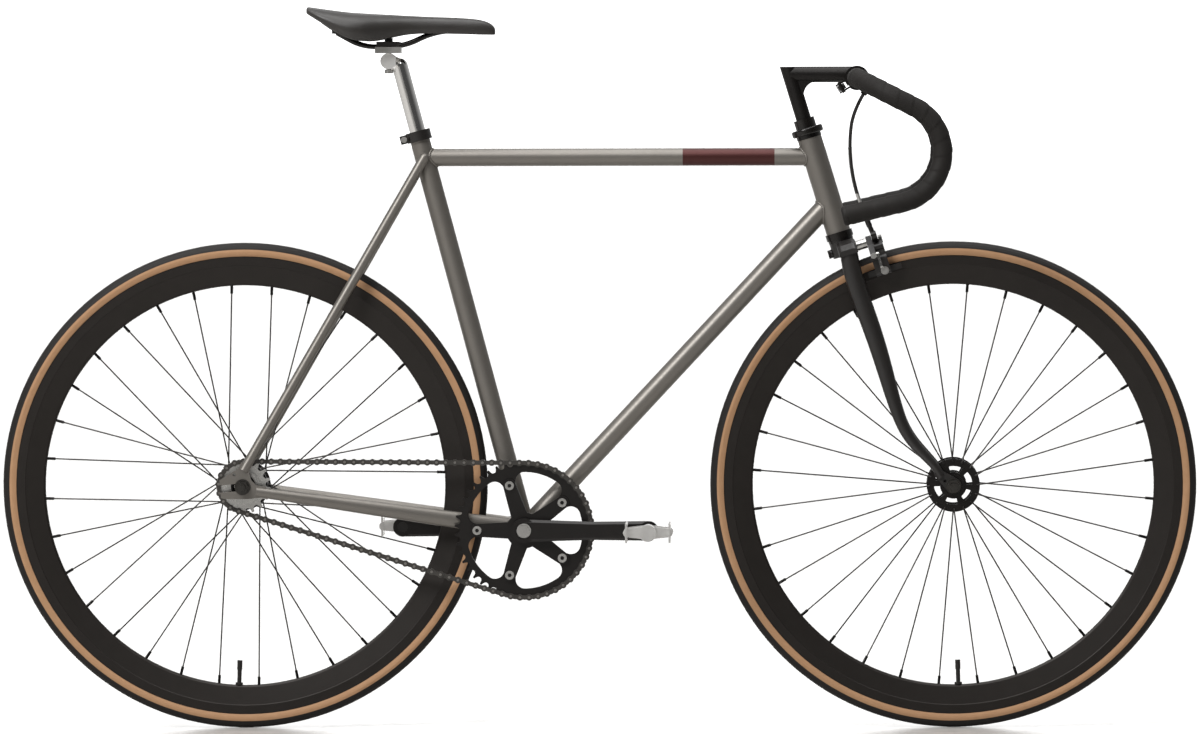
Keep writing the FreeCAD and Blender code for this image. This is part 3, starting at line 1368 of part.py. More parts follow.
def brake_lever_bracket():
    """Clamp band on the bar with two ears, a pivot pin and a cable stop."""
    half = BRACKET_WIDTH / 2.0
    outer = BRACKET_DIAMETER / 2.0
    band = cross_rod(BAR_CENTRE, LEVER_SIDE - half, LEVER_SIDE + half, outer)
    pieces = []
    for hand in SIDES:
        low = hand * EAR_GAP
        root = lever_point(outer - 4.0, LEVER_SIDE, low)
        tip = lever_point(LEVER_PIVOT_OFFSET, LEVER_SIDE, low)
        pieces.append(tapered_bar(root, half, tip, EAR_RADIUS, LEVER_AXIS * (hand * EAR_THICKNESS)))
    reach = EAR_GAP + EAR_THICKNESS + 1.2
    pin = rod(lever_point(LEVER_PIVOT_OFFSET, LEVER_SIDE, -reach),
              lever_point(LEVER_PIVOT_OFFSET, LEVER_SIDE, reach), LEVER_PIN_RADIUS)
    stop_end = CABLE_ROUTE[0]
    stop_start = stop_end - cable_way() * 12.0
    stop = rod(stop_start, stop_end, FERRULE_DIAMETER / 2.0 + 1.4)
    web = rod(BAR_CENTRE + Y_AXIS * LEVER_SIDE, stop_start + cable_way() * 4.0, FERRULE_DIAMETER / 2.0 + 0.6)
    bar = cross_rod(BAR_CENTRE, LEVER_SIDE - 3.0 * half, LEVER_SIDE + 3.0 * half, BAR_RADIUS)
    seat_hole = rod(stop_end - cable_way() * 6.0, stop_end, FERRULE_DIAMETER / 2.0)
    gap = rod(lever_point(LEVER_PIVOT_OFFSET, LEVER_SIDE, -EAR_GAP),
              lever_point(LEVER_PIVOT_OFFSET, LEVER_SIDE, EAR_GAP), EAR_RADIUS + 1.5)
    body = band.fuse(pieces + [stop, web]).cut([bar, seat_hole, gap])
    return body.fuse(pin).removeSplitter()


def brake_lever():
    """Blade that hangs below the bar's top and swings up to it."""
    half = LEVER_THICKNESS / 2.0
    push = LEVER_AXIS * LEVER_THICKNESS
    hub_at = lever_point(LEVER_PIVOT_OFFSET, LEVER_SIDE, -half)
    knee_at = lever_point(LEVER_PIVOT_OFFSET + 2.0, LEVER_SIDE - 0.35 * LEVER_LENGTH, -half)
    tip_at = lever_point(LEVER_PIVOT_OFFSET + 1.0, LEVER_SIDE - LEVER_LENGTH, -half)
    hub = tapered_bar(hub_at, EAR_RADIUS - 0.4, knee_at, 4.2, push)
    blade = tapered_bar(knee_at, 4.2, tip_at, 3.6, push)
    pin = rod(lever_point(LEVER_PIVOT_OFFSET, LEVER_SIDE, -LEVER_THICKNESS),
              lever_point(LEVER_PIVOT_OFFSET, LEVER_SIDE, LEVER_THICKNESS), LEVER_PIN_RADIUS + RUNNING_GAP)
    return hub.fuse(blade).cut(pin)


def brake_cable():
    """Cable in its housing, from the lever's stop to the calliper's adjuster."""
    points = list(CABLE_ROUTE)
    radii = easy_radii(points)
    path = rounded_path(points, radii)
    body = pipe(path, points[0], points[1] - points[0], CABLE_DIAMETER / 2.0)
    section = math.pi * (CABLE_DIAMETER / 2.0) ** 2
    print("cable radii", [round(radius, 1) for radius in radii])
    print("cable volume", round(body.Volume, 1), "section times length", round(section * path.Length, 1))
    return body


def brake_hardware():
    """Centre bolt with its nuts and spacer, and the cable's ferrules."""
    start, end = caliper_bolt_line()
    bolt = rod(start, end, CALIPER_BOLT_RADIUS)
    front_nut = hexagon(end, STEER_AHEAD, 10.0, 5.0)
    crown_front = BLADE_OFFSET + CROWN_DEPTH / 2.0
    spacer = tube(steer(CALIPER_PIVOT, crown_front), steer(CALIPER_PIVOT, CALIPER_REAR_FACE - SOFT_GAP), 7.0,
                  CALIPER_BOLT_RADIUS + FIT_GAP)
    rear_nut = hexagon(start, STEER_AHEAD, 10.0, CALIPER_NUT_HEIGHT)
    washer_start = start + STEER_AHEAD * CALIPER_NUT_HEIGHT
    washer_end = steer(CALIPER_PIVOT, -CROWN_SOCKET_RADIUS)
    back_washer = tube(washer_start, washer_end, 6.0, CALIPER_BOLT_RADIUS + FIT_GAP)
    bolt = bolt.fuse([front_nut, rear_nut]).removeSplitter()
    way = cable_way()
    top_ferrule = rod(CABLE_ROUTE[0] - way * 6.0, CABLE_ROUTE[0], FERRULE_DIAMETER / 2.0)
    return Part.makeCompound([bolt, spacer, back_washer, top_ferrule])


def caliper_point(side, up, ahead):
    """Point on the calliper: to one side, above the axle along the steering axis, and ahead."""
    return steer(up, ahead, side)


LEG_RADIUS = 5.5
PAD_INNER = RIM_WIDTH / 2.0 + PAD_GAP
LEG_SIDE = PAD_INNER + PAD_THICKNESS + LEG_RADIUS + 0.2
PAD_BOLT_AHEAD = CALIPER_LEG_FRONT - 8.0
LEFT_PLATE = CALIPER_REAR_FACE + CALIPER_PLATE + SOFT_GAP
ADJUSTER_UP = CALIPER_PIVOT + 8.0


def caliper_arm(side, plate_start):
    """Arm from the centre bolt, out and down past the tyre to the shoe."""
    push = STEER_AHEAD * CALIPER_PLATE
    hub_radius = 9.0
    shoulder_up = CALIPER_PIVOT - 9.0
    hub_at = caliper_point(0, CALIPER_PIVOT, plate_start)
    shoulder_at = caliper_point(side * LEG_SIDE, shoulder_up, plate_start)
    foot_at = caliper_point(side * LEG_SIDE, PAD_RADIUS, plate_start)
    leg_push = STEER_AHEAD * (CALIPER_LEG_FRONT - plate_start)
    bridge = tapered_bar(hub_at, hub_radius, shoulder_at, LEG_RADIUS + 1.0, push)
    leg = tapered_bar(shoulder_at, LEG_RADIUS + 1.0, foot_at, LEG_RADIUS, leg_push)
    return bridge.fuse(leg)


def pad_bolt(side):
    """Line of a shoe's bolt through the foot of its arm."""
    inner = caliper_point(side * (PAD_INNER + PAD_THICKNESS), PAD_RADIUS, PAD_BOLT_AHEAD)
    outer = caliper_point(side * (LEG_SIDE + LEG_RADIUS + 1.5), PAD_RADIUS, PAD_BOLT_AHEAD)
    return inner, outer


def caliper_bores(side):
    """Pivot bore and shoe bolt hole of one arm."""
    start, end = caliper_bolt_line()
    inner, outer = pad_bolt(side)
    return [rod(start, end, CALIPER_BOLT_RADIUS + RUNNING_GAP),
            rod(inner, outer, CALIPER_BOLT_RADIUS + FIT_GAP)]


ANCHOR_UP = CALIPER_PIVOT - 19.0
RELEASE_START = CALIPER_REAR_FACE + CALIPER_PLATE + SOFT_GAP
RELEASE_THICKNESS = 3.6
RELEASE_PIN_RADIUS = 2.0


def right_caliper_arm():
    """Rear arm with the cable anchor and the pin of the quick release."""
    push = STEER_AHEAD * CALIPER_PLATE
    shoulder_at = caliper_point(-LEG_SIDE, CALIPER_PIVOT - 9.0, CALIPER_REAR_FACE)
    anchor_at = caliper_point(-CALIPER_ANCHOR_SIDE, ANCHOR_UP, CALIPER_REAR_FACE)
    lobe = tapered_bar(shoulder_at, LEG_RADIUS + 1.0, anchor_at, 6.0, push)
    body = caliper_arm(RIGHT, CALIPER_REAR_FACE)
    leg_trim = tapered_bar(anchor_at + push, 8.0, anchor_at + push + Y_AXIS * -20.0, 8.0, STEER_AHEAD * 40.0)
    body = body.cut(leg_trim).fuse(lobe)
    pin_start = caliper_point(-CALIPER_ANCHOR_SIDE, ANCHOR_UP, CALIPER_REAR_FACE)
    pin = rod(pin_start, pin_start + STEER_AHEAD * (CALIPER_PLATE + 2.0 * SOFT_GAP + RELEASE_THICKNESS + 1.2),
              RELEASE_PIN_RADIUS)
    middle = CALIPER_REAR_FACE + CALIPER_PLATE / 2.0
    bolt_face = CALIPER_ANCHOR_SIDE + 5.6
    anchor_start = caliper_point(-bolt_face, ANCHOR_UP, middle)
    anchor = rod(anchor_start, anchor_start - Y_AXIS * 4.5, CALIPER_PLATE / 2.0)
    return body.cut(caliper_bores(RIGHT)).fuse([pin, anchor]).removeSplitter()


def left_caliper_arm():
    """Front arm, which reaches over to the right and carries the cable adjuster."""
    push = STEER_AHEAD * CALIPER_PLATE
    hub_at = caliper_point(0, CALIPER_PIVOT, LEFT_PLATE)
    stop_at = caliper_point(-CALIPER_ADJUSTER_SIDE, ADJUSTER_UP, LEFT_PLATE)
    reach = tapered_bar(hub_at, 9.0, stop_at, 6.0, push)
    adjuster_end = CABLE_ROUTE[-1]
    way = unit(CABLE_ROUTE[-1] - CABLE_ROUTE[-2])
    foot = caliper_point(-CALIPER_ADJUSTER_SIDE, ADJUSTER_UP, LEFT_PLATE + CALIPER_PLATE / 2.0)
    barrel = rod(foot, adjuster_end + way * 8.0, 3.4)
    sleeve = rod(adjuster_end + way * 8.0, adjuster_end - way * 5.0, CABLE_DIAMETER / 2.0 + 1.4)
    socket = rod(adjuster_end + way * 0.2, adjuster_end - way * 8.0, CABLE_DIAMETER / 2.0 + SOFT_GAP)
    joint = Part.makeSphere(CABLE_DIAMETER / 2.0 + 1.4, adjuster_end + way * 8.0)
    body = caliper_arm(LEFT, LEFT_PLATE).fuse([reach, barrel, joint, sleeve]).cut(socket)
    return body.cut(caliper_bores(LEFT))


def brake_shoe(side):
    """Shoe with its bolt, washer and nut."""
    low = PAD_RADIUS - PAD_HEIGHT / 2.0
    start = PAD_BOLT_AHEAD - PAD_LENGTH / 2.0
    nose = 5.0
    inner = PAD_INNER
    outer = PAD_INNER + PAD_THICKNESS
    outline = (
        (inner, start + nose),
        (outer, start),
        (outer, start + PAD_LENGTH),
        (inner, start + PAD_LENGTH - nose),
    )
    pad = prism([steer(low, ahead, side * offset) for offset, ahead in outline], STEER_UP * PAD_HEIGHT)
    first, last = pad_bolt(side)
    bolt = rod(first, last, CALIPER_BOLT_RADIUS)
    way = Y_AXIS * side
    washer_side = side * (LEG_SIDE + LEG_RADIUS + SOFT_GAP)
    washer = rod(caliper_point(washer_side, PAD_RADIUS, PAD_BOLT_AHEAD), last, 5.6)
    nut = hexagon(last, way, 8.0, 3.5)
    return pad.fuse([bolt, washer, nut]).removeSplitter()


def right_brake_shoe():
    """Shoe on the drive side."""
    return brake_shoe(RIGHT)


def left_brake_shoe():
    """Shoe on the other side."""
    return brake_shoe(LEFT)


def brake_release():
    """Small lever that opens the calliper for wheel changes."""
    pivot = caliper_point(-CALIPER_ANCHOR_SIDE, ANCHOR_UP, RELEASE_START)
    tip = caliper_point(-CALIPER_ANCHOR_SIDE - 3.0, ANCHOR_UP - 17.0, RELEASE_START)
    push = STEER_AHEAD * RELEASE_THICKNESS
    body = tapered_bar(pivot, 4.4, tip, 2.6, push)
    return body.cut(rod(pivot - push, pivot + push * 3.0, RELEASE_PIN_RADIUS + RUNNING_GAP))


# Wheels
RIM_INNER_RADIUS = RIM_OUTER_RADIUS - RIM_DEPTH
RIM_BED_RADIUS = RIM_OUTER_RADIUS - RIM_BED_DEPTH
TYRE_SECTION = TYRE_RADIUS - TYRE_WIDTH / 2.0
TYRE_BORE = TYRE_WIDTH / 2.0 - 1.7 * TYRE_WALL
TYRE_BORE_CENTRE = TYRE_RADIUS - TYRE_WALL - TYRE_BORE
HOOK_INNER = RIM_WIDTH / 2.0 - RIM_WALL


def spoke_ends(front):
    """Hub end, rim angle and flange side of every spoke of a wheel."""
    per_side = SPOKE_COUNT // 2
    step = 360.0 / per_side
    ends = []
    for side in SIDES:
        for index in range(per_side):
            if front:
                hole = FRONT_WHEEL_TURN + step * index
                rim = hole - side * step / 4.0
                outside = 1
            else:
                hole = REAR_WHEEL_TURN + step * index
                lead = 1 if index % 2 == 0 else -1
                rim = hole + lead * 2.0 * step + (step / 2.0 if side == LEFT else 0.0)
                outside = lead
            ends.append((side, hole, rim, outside))
    return ends


def spoke_line(front, side, hole, rim, outside):
    """Straight line of one spoke, from beside its flange to inside the rim."""
    axle = FRONT_AXLE if front else REAR_AXLE
    offset = FRONT_FLANGE_OFFSET if front else REAR_FLANGE_OFFSET
    radius = FRONT_HOLE_RADIUS if front else REAR_HOLE_RADIUS
    stand = FLANGE_THICKNESS / 2.0 + SPOKE_STAND_OFF
    start = axle + polar(hole, radius, side * (offset + outside * stand))
    end = axle + polar(rim, RIM_INNER_RADIUS + NIPPLE_LENGTH - NIPPLE_SHOWING)
    return start, end


def spoke_set(front):
    """Spokes with bent, headed ends, and their nipples, as separate solids."""
    solids = []
    radius = SPOKE_DIAMETER / 2.0
    for side, hole, rim, outside in spoke_ends(front):
        start, end = spoke_line(front, side, hole, rim, outside)
        way = unit(end - start)
        nipple_start = end - way * NIPPLE_LENGTH
        across = Y_AXIS * (-side * outside)
        head_at = start + across * (FLANGE_THICKNESS + SPOKE_STAND_OFF)
        shank = rod(start, nipple_start + way * (NIPPLE_LENGTH / 2.0), radius)
        elbow = Part.makeSphere(radius, start)
        through = rod(start, head_at, radius)
        head = rod(head_at, head_at + across * 1.2, 1.8 * radius)
        solids.append(shank.fuse([elbow, through, head]))
        bore = rod(nipple_start, nipple_start + way * (NIPPLE_LENGTH / 2.0), radius + FIT_GAP)
        solids.append(rod(nipple_start, end, NIPPLE_DIAMETER / 2.0).cut(bore))
    return Part.makeCompound(solids)


def front_spokes():
    """Radial spokes of the front wheel."""
    return spoke_set(True)


def rear_spokes():
    """Crossed spokes of the rear wheel."""
    return spoke_set(False)


def valve_way(front):
    """Direction of a wheel's valve, from the axle outwards."""
    return polar(-90.0 + FRONT_WHEEL_TURN if front else REAR_VALVE_TURN)


def rim_solid(front):
    """Hollow deep rim with flat brake tracks, drilled for nipples and valve."""
    axle = FRONT_AXLE if front else REAR_AXLE
    half = RIM_WIDTH / 2.0
    track_bottom = RIM_OUTER_RADIUS - RIM_TRACK_HEIGHT
    nose_half = 3.2
    outer = [
        (RIM_OUTER_RADIUS, HOOK_INNER),
        (RIM_OUTER_RADIUS, half),
        (track_bottom, half),
        (track_bottom - 0.8, half - 0.6),
        (RIM_INNER_RADIUS + 3.0, nose_half + 1.6),
        (RIM_INNER_RADIUS + 0.8, nose_half),
        (RIM_INNER_RADIUS, 1.2),
    ]
    body = spin(mirrored(outer) + [(RIM_BED_RADIUS, -HOOK_INNER), (RIM_BED_RADIUS, HOOK_INNER)], axle)
    cavity_top = RIM_BED_RADIUS - RIM_WALL
    cavity = [
        (cavity_top, half - 1.2 * RIM_WALL),
        (track_bottom - 1.0, half - 1.2 * RIM_WALL),
        (RIM_INNER_RADIUS + 1.4 * RIM_WALL, nose_half - 0.6),
    ]
    body = body.cut(spin(mirrored(cavity), axle))
    drills = []
    for side, hole, rim, outside in spoke_ends(front):
        start, end = spoke_line(front, side, hole, rim, outside)
        way = unit(end - start)
        drills.append(rod(end - way * NIPPLE_LENGTH, end, NIPPLE_DIAMETER / 2.0 + FIT_GAP))
    way = valve_way(front)
    drills.append(rod(axle + way * (RIM_INNER_RADIUS - 5.0), axle + way * (RIM_BED_RADIUS + 1.0),
                      VALVE_DIAMETER / 2.0 + RUNNING_GAP))
    return body.cut(drills)


def front_rim():
    """Front rim."""
    return rim_solid(True)


def rear_rim():
    """Rear rim."""
    return rim_solid(False)


def tyre_solid(axle):
    """Open tyre with its beads inside the rim's hooks."""
    bead_outer = HOOK_INNER - SOFT_GAP
    bead_inner = bead_outer - TYRE_WALL
    bead_bottom = RIM_BED_RADIUS + SOFT_GAP
    lip = RIM_OUTER_RADIUS + SOFT_GAP
    outer = TYRE_WIDTH / 2.0
    inner = TYRE_BORE
    lip_side = math.sqrt(outer ** 2 - (TYRE_SECTION - lip) ** 2)
    inner_drop = math.sqrt(inner ** 2 - bead_inner ** 2)

    def place(radius, side):
        return Vec(axle.x, side, axle.z + radius)

    edges = []
    for hand in SIDES:
        outline = [
            place(TYRE_BORE_CENTRE - inner_drop, hand * bead_inner),
            place(bead_bottom, hand * bead_inner),
            place(bead_bottom, hand * bead_outer),
            place(lip, hand * bead_outer),
            place(lip, hand * lip_side),
        ]
        for first, second in zip(outline, outline[1:]):
            edges.append(Part.LineSegment(first, second).toShape())
        belly = place(TYRE_SECTION, hand * outer)
        edges.append(Part.Arc(outline[-1], place(TYRE_SECTION - 0.4 * (TYRE_SECTION - lip), hand * math.sqrt(
            outer ** 2 - (0.4 * (TYRE_SECTION - lip)) ** 2)), belly).toShape())
        quarter = outer * math.sqrt(0.5)
        edges.append(Part.Arc(belly, place(TYRE_SECTION + quarter, hand * quarter),
                              place(TYRE_RADIUS, 0)).toShape())
        inner_belly = place(TYRE_BORE_CENTRE, hand * inner)
        half_drop = 0.5 * inner_drop
        edges.append(Part.Arc(outline[0], place(TYRE_BORE_CENTRE - half_drop, hand * math.sqrt(
            inner ** 2 - half_drop ** 2)), inner_belly).toShape())
        quarter = inner * math.sqrt(0.5)
        edges.append(Part.Arc(inner_belly, place(TYRE_BORE_CENTRE + quarter, hand * quarter),
                              place(TYRE_BORE_CENTRE + inner, 0)).toShape())
    wire = Part.Wire(Part.__sortEdges__(edges))
    return Part.Face(wire).revolve(Vec(axle.x, 0, axle.z), Y_AXIS, 360)


def front_tyre():
    """Front tyre."""
    return tyre_solid(FRONT_AXLE)


def rear_tyre():
    """Rear tyre."""
    return tyre_solid(REAR_AXLE)


def tube_solid(front):
    """Inner tube with its bonded valve, and the valve's cap."""
    axle = FRONT_AXLE if front else REAR_AXLE
    section = TYRE_BORE - SOFT_GAP
    wall = 0.9
    ring = Part.makeTorus(TYRE_BORE_CENTRE, section, axle, Y_AXIS)
    hollow = Part.makeTorus(TYRE_BORE_CENTRE, section - wall, axle, Y_AXIS)
    way = valve_way(front)
    inner_end = RIM_INNER_RADIUS - VALVE_SHOWING
    stem_end = inner_end + 13.0
    stem_top = TYRE_BORE_CENTRE - section + 0.5 * wall
    stem_rod = rod(axle + way * stem_end, axle + way * stem_top, VALVE_DIAMETER / 2.0)
    body = ring.fuse(stem_rod).cut(hollow)
    cap = rod(axle + way * inner_end, axle + way * stem_end, VALVE_DIAMETER / 2.0 + 0.6)
    nut_start = axle + way * (RIM_INNER_RADIUS - 3.2)
    nut = tube(nut_start, nut_start + way * 3.0, 5.2, VALVE_DIAMETER / 2.0 + FIT_GAP)
    return Part.makeCompound([body, cap, nut])


def front_inner_tube():
    """Inner tube of the front wheel."""
    return tube_solid(True)


def rear_inner_tube():
    """Inner tube of the rear wheel."""
    return tube_solid(False)


def spoke_holes(front):
    """Drills for the spokes' bent ends through both flanges."""
    axle = FRONT_AXLE if front else REAR_AXLE
    offset = FRONT_FLANGE_OFFSET if front else REAR_FLANGE_OFFSET
    radius = FRONT_HOLE_RADIUS if front else REAR_HOLE_RADIUS
    drills = []
    for side, hole, _, _ in spoke_ends(front):
        place = axle + polar(hole, radius)
        near = side * (offset - FLANGE_THICKNESS)
        far = side * (offset + FLANGE_THICKNESS)
        drills.append(cross_rod(place, near, far, SPOKE_DIAMETER / 2.0 + RUNNING_GAP))
    return drills


def arc_slot(axle, inner, outer, start, end, y_start, y_end):
    """Curved window through a flange."""
    middle = (start + end) / 2.0
    rise = Y_AXIS * y_start
    corner_a = axle + polar(start, inner) + rise
    corner_b = axle + polar(start, outer) + rise
    corner_c = axle + polar(end, outer) + rise
    corner_d = axle + polar(end, inner) + rise
    outline = Part.Wire([
        Part.LineSegment(corner_a, corner_b).toShape(),
        Part.Arc(corner_b, axle + polar(middle, outer) + rise, corner_c).toShape(),
        Part.LineSegment(corner_c, corner_d).toShape(),
        Part.Arc(corner_d, axle + polar(middle, inner) + rise, corner_a).toShape(),
    ])
    return Part.Face(outline).extrude(Y_AXIS * (y_end - y_start))


def front_hub_shell():
    """High-flange hub with curved windows in its flanges."""
    half_flange = FLANGE_THICKNESS / 2.0
    barrel = 12.5
    mouth = 15.0
    end = FRONT_BALL_SIDE + 4.0
    cup = hub_ball_circle(FRONT_CONE_RADIUS, FRONT_BALL_DIAMETER) + FRONT_BALL_DIAMETER / 2.0 + RUNNING_GAP
    cup_bottom = FRONT_BALL_SIDE - 6.0
    through = FRONT_AXLE_DIAMETER / 2.0 + 1.5
    profile = [
        (through, cup_bottom),
        (cup, cup_bottom),
        (cup, end),
        (mouth, end),
        (mouth, FRONT_FLANGE_OFFSET + half_flange),
        (FRONT_FLANGE_RADIUS, FRONT_FLANGE_OFFSET + half_flange),
        (FRONT_FLANGE_RADIUS, FRONT_FLANGE_OFFSET - half_flange),
        (barrel, FRONT_FLANGE_OFFSET - half_flange),
    ]
    body = spin(mirrored(profile), FRONT_AXLE)
    cuts = spoke_holes(True)
    windows = 6
    for side in SIDES:
        near = side * (FRONT_FLANGE_OFFSET - FLANGE_THICKNESS)
        far = side * (FRONT_FLANGE_OFFSET + FLANGE_THICKNESS)
        for index in range(windows):
            start = 2.0 + FRONT_WHEEL_TURN + index * 360.0 / windows
            cuts.append(arc_slot(FRONT_AXLE, 18.5, 26.5, start, start + 40.0, near, far))
    return body.cut(cuts)


def rear_hub_shell():
    """Rear hub with a threaded carrier for the sprocket."""
    half_flange = FLANGE_THICKNESS / 2.0
    barrel = 13.0
    end = REAR_BALL_SIDE + 5.0
    cup = hub_ball_circle(REAR_CONE_RADIUS, REAR_BALL_DIAMETER) + REAR_BALL_DIAMETER / 2.0 + RUNNING_GAP
    cup_bottom = REAR_BALL_SIDE - 6.0
    through = REAR_AXLE_DIAMETER / 2.0 + 1.5
    near = REAR_FLANGE_OFFSET - half_flange
    far = REAR_FLANGE_OFFSET + half_flange
    shoulder = SPROCKET_THREAD_RADIUS + 3.5
    profile = [
        (through, cup_bottom),
        (cup, cup_bottom),
        (cup, end),
        (SPROCKET_THREAD_RADIUS, end),
        (SPROCKET_THREAD_RADIUS, far),
        (REAR_FLANGE_RADIUS, far),
        (REAR_FLANGE_RADIUS, near),
        (barrel, near),
        (barrel, -near),
        (REAR_FLANGE_RADIUS, -near),
        (REAR_FLANGE_RADIUS, -far),
        (shoulder, -far),
        (shoulder, -RING_INNER_FACE),
        (SPROCKET_THREAD_RADIUS, -RING_INNER_FACE),
        (SPROCKET_THREAD_RADIUS, -end),
        (cup, -end),
        (cup, -cup_bottom),
        (through, -cup_bottom),
    ]
    return spin(profile, REAR_AXLE).cut(spoke_holes(False))


# Drive
def toothed_plate(centre, teeth, phase):
    """Sprocket blank with a roller seat at every pitch point and straight flanks."""
    pitch = pitch_radius(teeth)
    tip = pitch + TOOTH_TIP
    seat_radius = ROLLER_DIAMETER / 2.0 + ROLLER_SEAT_GAP
    flank = math.radians(TOOTH_FLANK_ANGLE)
    rise = Y_AXIS * -RING_OUTER_FACE
    edges = []
    first_tip = None
    last_tip = None
    for index in range(teeth):
        gap = phase + 360.0 * index / teeth
        radial = polar(gap)
        tangent = polar(gap + 90.0)
        middle = radial * pitch
        marks = []
        for hand in (-1.0, 1.0):
            foot = middle + tangent * (hand * seat_radius * math.cos(flank))
            foot -= radial * (seat_radius * math.sin(flank))
            way = radial * math.cos(flank) + tangent * (hand * math.sin(flank))
            reach = -foot.dot(way) + math.sqrt(foot.dot(way) ** 2 + tip ** 2 - foot.dot(foot))
            marks.append((centre + rise + foot, centre + rise + foot + way * reach))
        (left_foot, left_tip), (right_foot, right_tip) = marks
        if last_tip is None:
            first_tip = left_tip
        else:
            edges.append(Part.LineSegment(last_tip, left_tip).toShape())
        bottom = centre + rise + radial * (pitch - seat_radius)
        edges.append(Part.LineSegment(left_tip, left_foot).toShape())
        edges.append(Part.Arc(left_foot, bottom, right_foot).toShape())
        edges.append(Part.LineSegment(right_foot, right_tip).toShape())
        last_tip = right_tip
    edges.append(Part.LineSegment(last_tip, first_tip).toShape())
    return Part.Face(Part.Wire(edges)).extrude(Y_AXIS * TOOTH_THICKNESS)


def pin_phase(centre, radius):
    """Angle of a chain pin that lies on a sprocket's pitch circle."""
    for pin in CHAIN_PINS:
        arm = pin - centre
        if abs(arm.Length - radius) < 0.001:
            return math.degrees(math.atan2(arm.z, arm.x))
    return 0.0


def rear_sprocket():
    """Fixed sprocket, threaded on the hub."""
    plate = toothed_plate(REAR_AXLE, SPROCKET_TEETH, pin_phase(REAR_AXLE, pitch_radius(SPROCKET_TEETH)))
    thread = SPROCKET_THREAD_RADIUS + FIT_GAP
    return plate.cut(cross_rod(REAR_AXLE, -RING_INNER_FACE, -RING_OUTER_FACE, thread))


def sprocket_lockring():
    """Notched ring that locks the sprocket."""
    body = cross_ring(REAR_AXLE, -RING_OUTER_FACE, -RING_OUTER_FACE - LOCKRING_WIDTH, LOCKRING_RADIUS,
                      SPROCKET_THREAD_RADIUS + FIT_GAP)
    notches = []
    count = 6
    for index in range(count):
        place = REAR_AXLE + polar(30.0 + 360.0 * index / count, LOCKRING_RADIUS)
        notches.append(cross_rod(place, -RING_OUTER_FACE - 1.0, -RING_OUTER_FACE - LOCKRING_WIDTH, 2.4))
    return body.cut(notches)


def arm_angles():
    """Angles of the spider's arms, with one straight behind the right crank."""
    return [180.0 + 360.0 * index / SPIDER_ARMS for index in range(SPIDER_ARMS)]


def chainring():
    """Open chainring with a bolt tab for each spider arm."""
    body = toothed_plate(BRACKET, CHAINRING_TEETH, pin_phase(BRACKET, pitch_radius(CHAINRING_TEETH)))
    body = body.cut(cross_rod(BRACKET, -RING_INNER_FACE, -RING_OUTER_FACE, RING_INNER_RADIUS))
    push = Y_AXIS * TOOTH_THICKNESS
    rise = Y_AXIS * -RING_OUTER_FACE
    tabs = []
    holes = []
    for angle in arm_angles():
        place = BRACKET + polar(angle, BOLT_CIRCLE_RADIUS)
        root = BRACKET + polar(angle, RING_INNER_RADIUS + 1.0)
        tabs.append(tapered_bar(place + rise, SPIDER_TIP_RADIUS, root + rise, SPIDER_TIP_RADIUS - 1.0, push))
        holes.append(cross_rod(place, -RING_INNER_FACE, -RING_OUTER_FACE, RING_BOLT_RADIUS + FIT_GAP))
    trim_inner = RING_INNER_RADIUS + 4.0
    trim = cross_ring(BRACKET, -RING_INNER_FACE, -RING_OUTER_FACE, 2.0 * RING_INNER_RADIUS, trim_inner)
    tabs = [tab.cut(trim) for tab in tabs]
    body = body.fuse(tabs).removeSplitter()
    corners = []
    for edge in body.Edges:
        reach = math.hypot(edge.CenterOfMass.x - BRACKET.x, edge.CenterOfMass.z - BRACKET.z)
        if abs(reach - RING_INNER_RADIUS) < 0.1 and abs(edge.Length - TOOTH_THICKNESS) < 0.01:
            corners.append(edge)
    return body.makeFillet(RING_TAB_FILLET, corners).cut(holes)


def crank_arm(side):
    """Tapering arm from the boss to the pedal eye."""
    ahead = 1.0 if side == RIGHT else -1.0
    thick = CRANK_THICKNESS / 2.0
    stations = (
        (0.0, CRANK_ROOT_HEIGHT, CRANK_ROOT_OFFSET),
        (0.55, CRANK_WAIST_HEIGHT, 0.45 * CRANK_ROOT_OFFSET + 0.55 * CRANK_TIP_OFFSET),
        (1.0, CRANK_TIP_HEIGHT, CRANK_TIP_OFFSET),
    )
    wires = []
    for share, height, offset in stations:
        x = ahead * share * CRANK_LENGTH
        half = height / 2.0
        bevel = 3.5
        inner = side * (offset - thick)
        outer = side * (offset + thick)
        outer_bevel = side * (offset + thick - bevel)
        inner_bevel = side * (offset - thick + bevel)
        points = [
            BRACKET + Vec(x, inner, -half + bevel),
            BRACKET + Vec(x, inner, half - bevel),
            BRACKET + Vec(x, inner_bevel, half),
            BRACKET + Vec(x, outer_bevel, half),
            BRACKET + Vec(x, outer, half - bevel),
            BRACKET + Vec(x, outer, -half + bevel),
            BRACKET + Vec(x, outer_bevel, -half),
            BRACKET + Vec(x, inner_bevel, -half),
        ]
        wires.append(Part.makePolygon(points + [points[0]]))
    arm = Part.makeLoft(wires, True, True)
    eye = BRACKET + Vec(ahead * CRANK_LENGTH, 0, 0)
    end = cross_rod(eye, side * (CRANK_TIP_OFFSET - thick), side * PEDAL_FACE, CRANK_TIP_HEIGHT / 2.0)
    boss = cross_rod(BRACKET, side * CRANK_BOSS_INNER, side * CRANK_OUTER_FACE, CRANK_BOSS_RADIUS)
    return arm.fuse([end, boss])


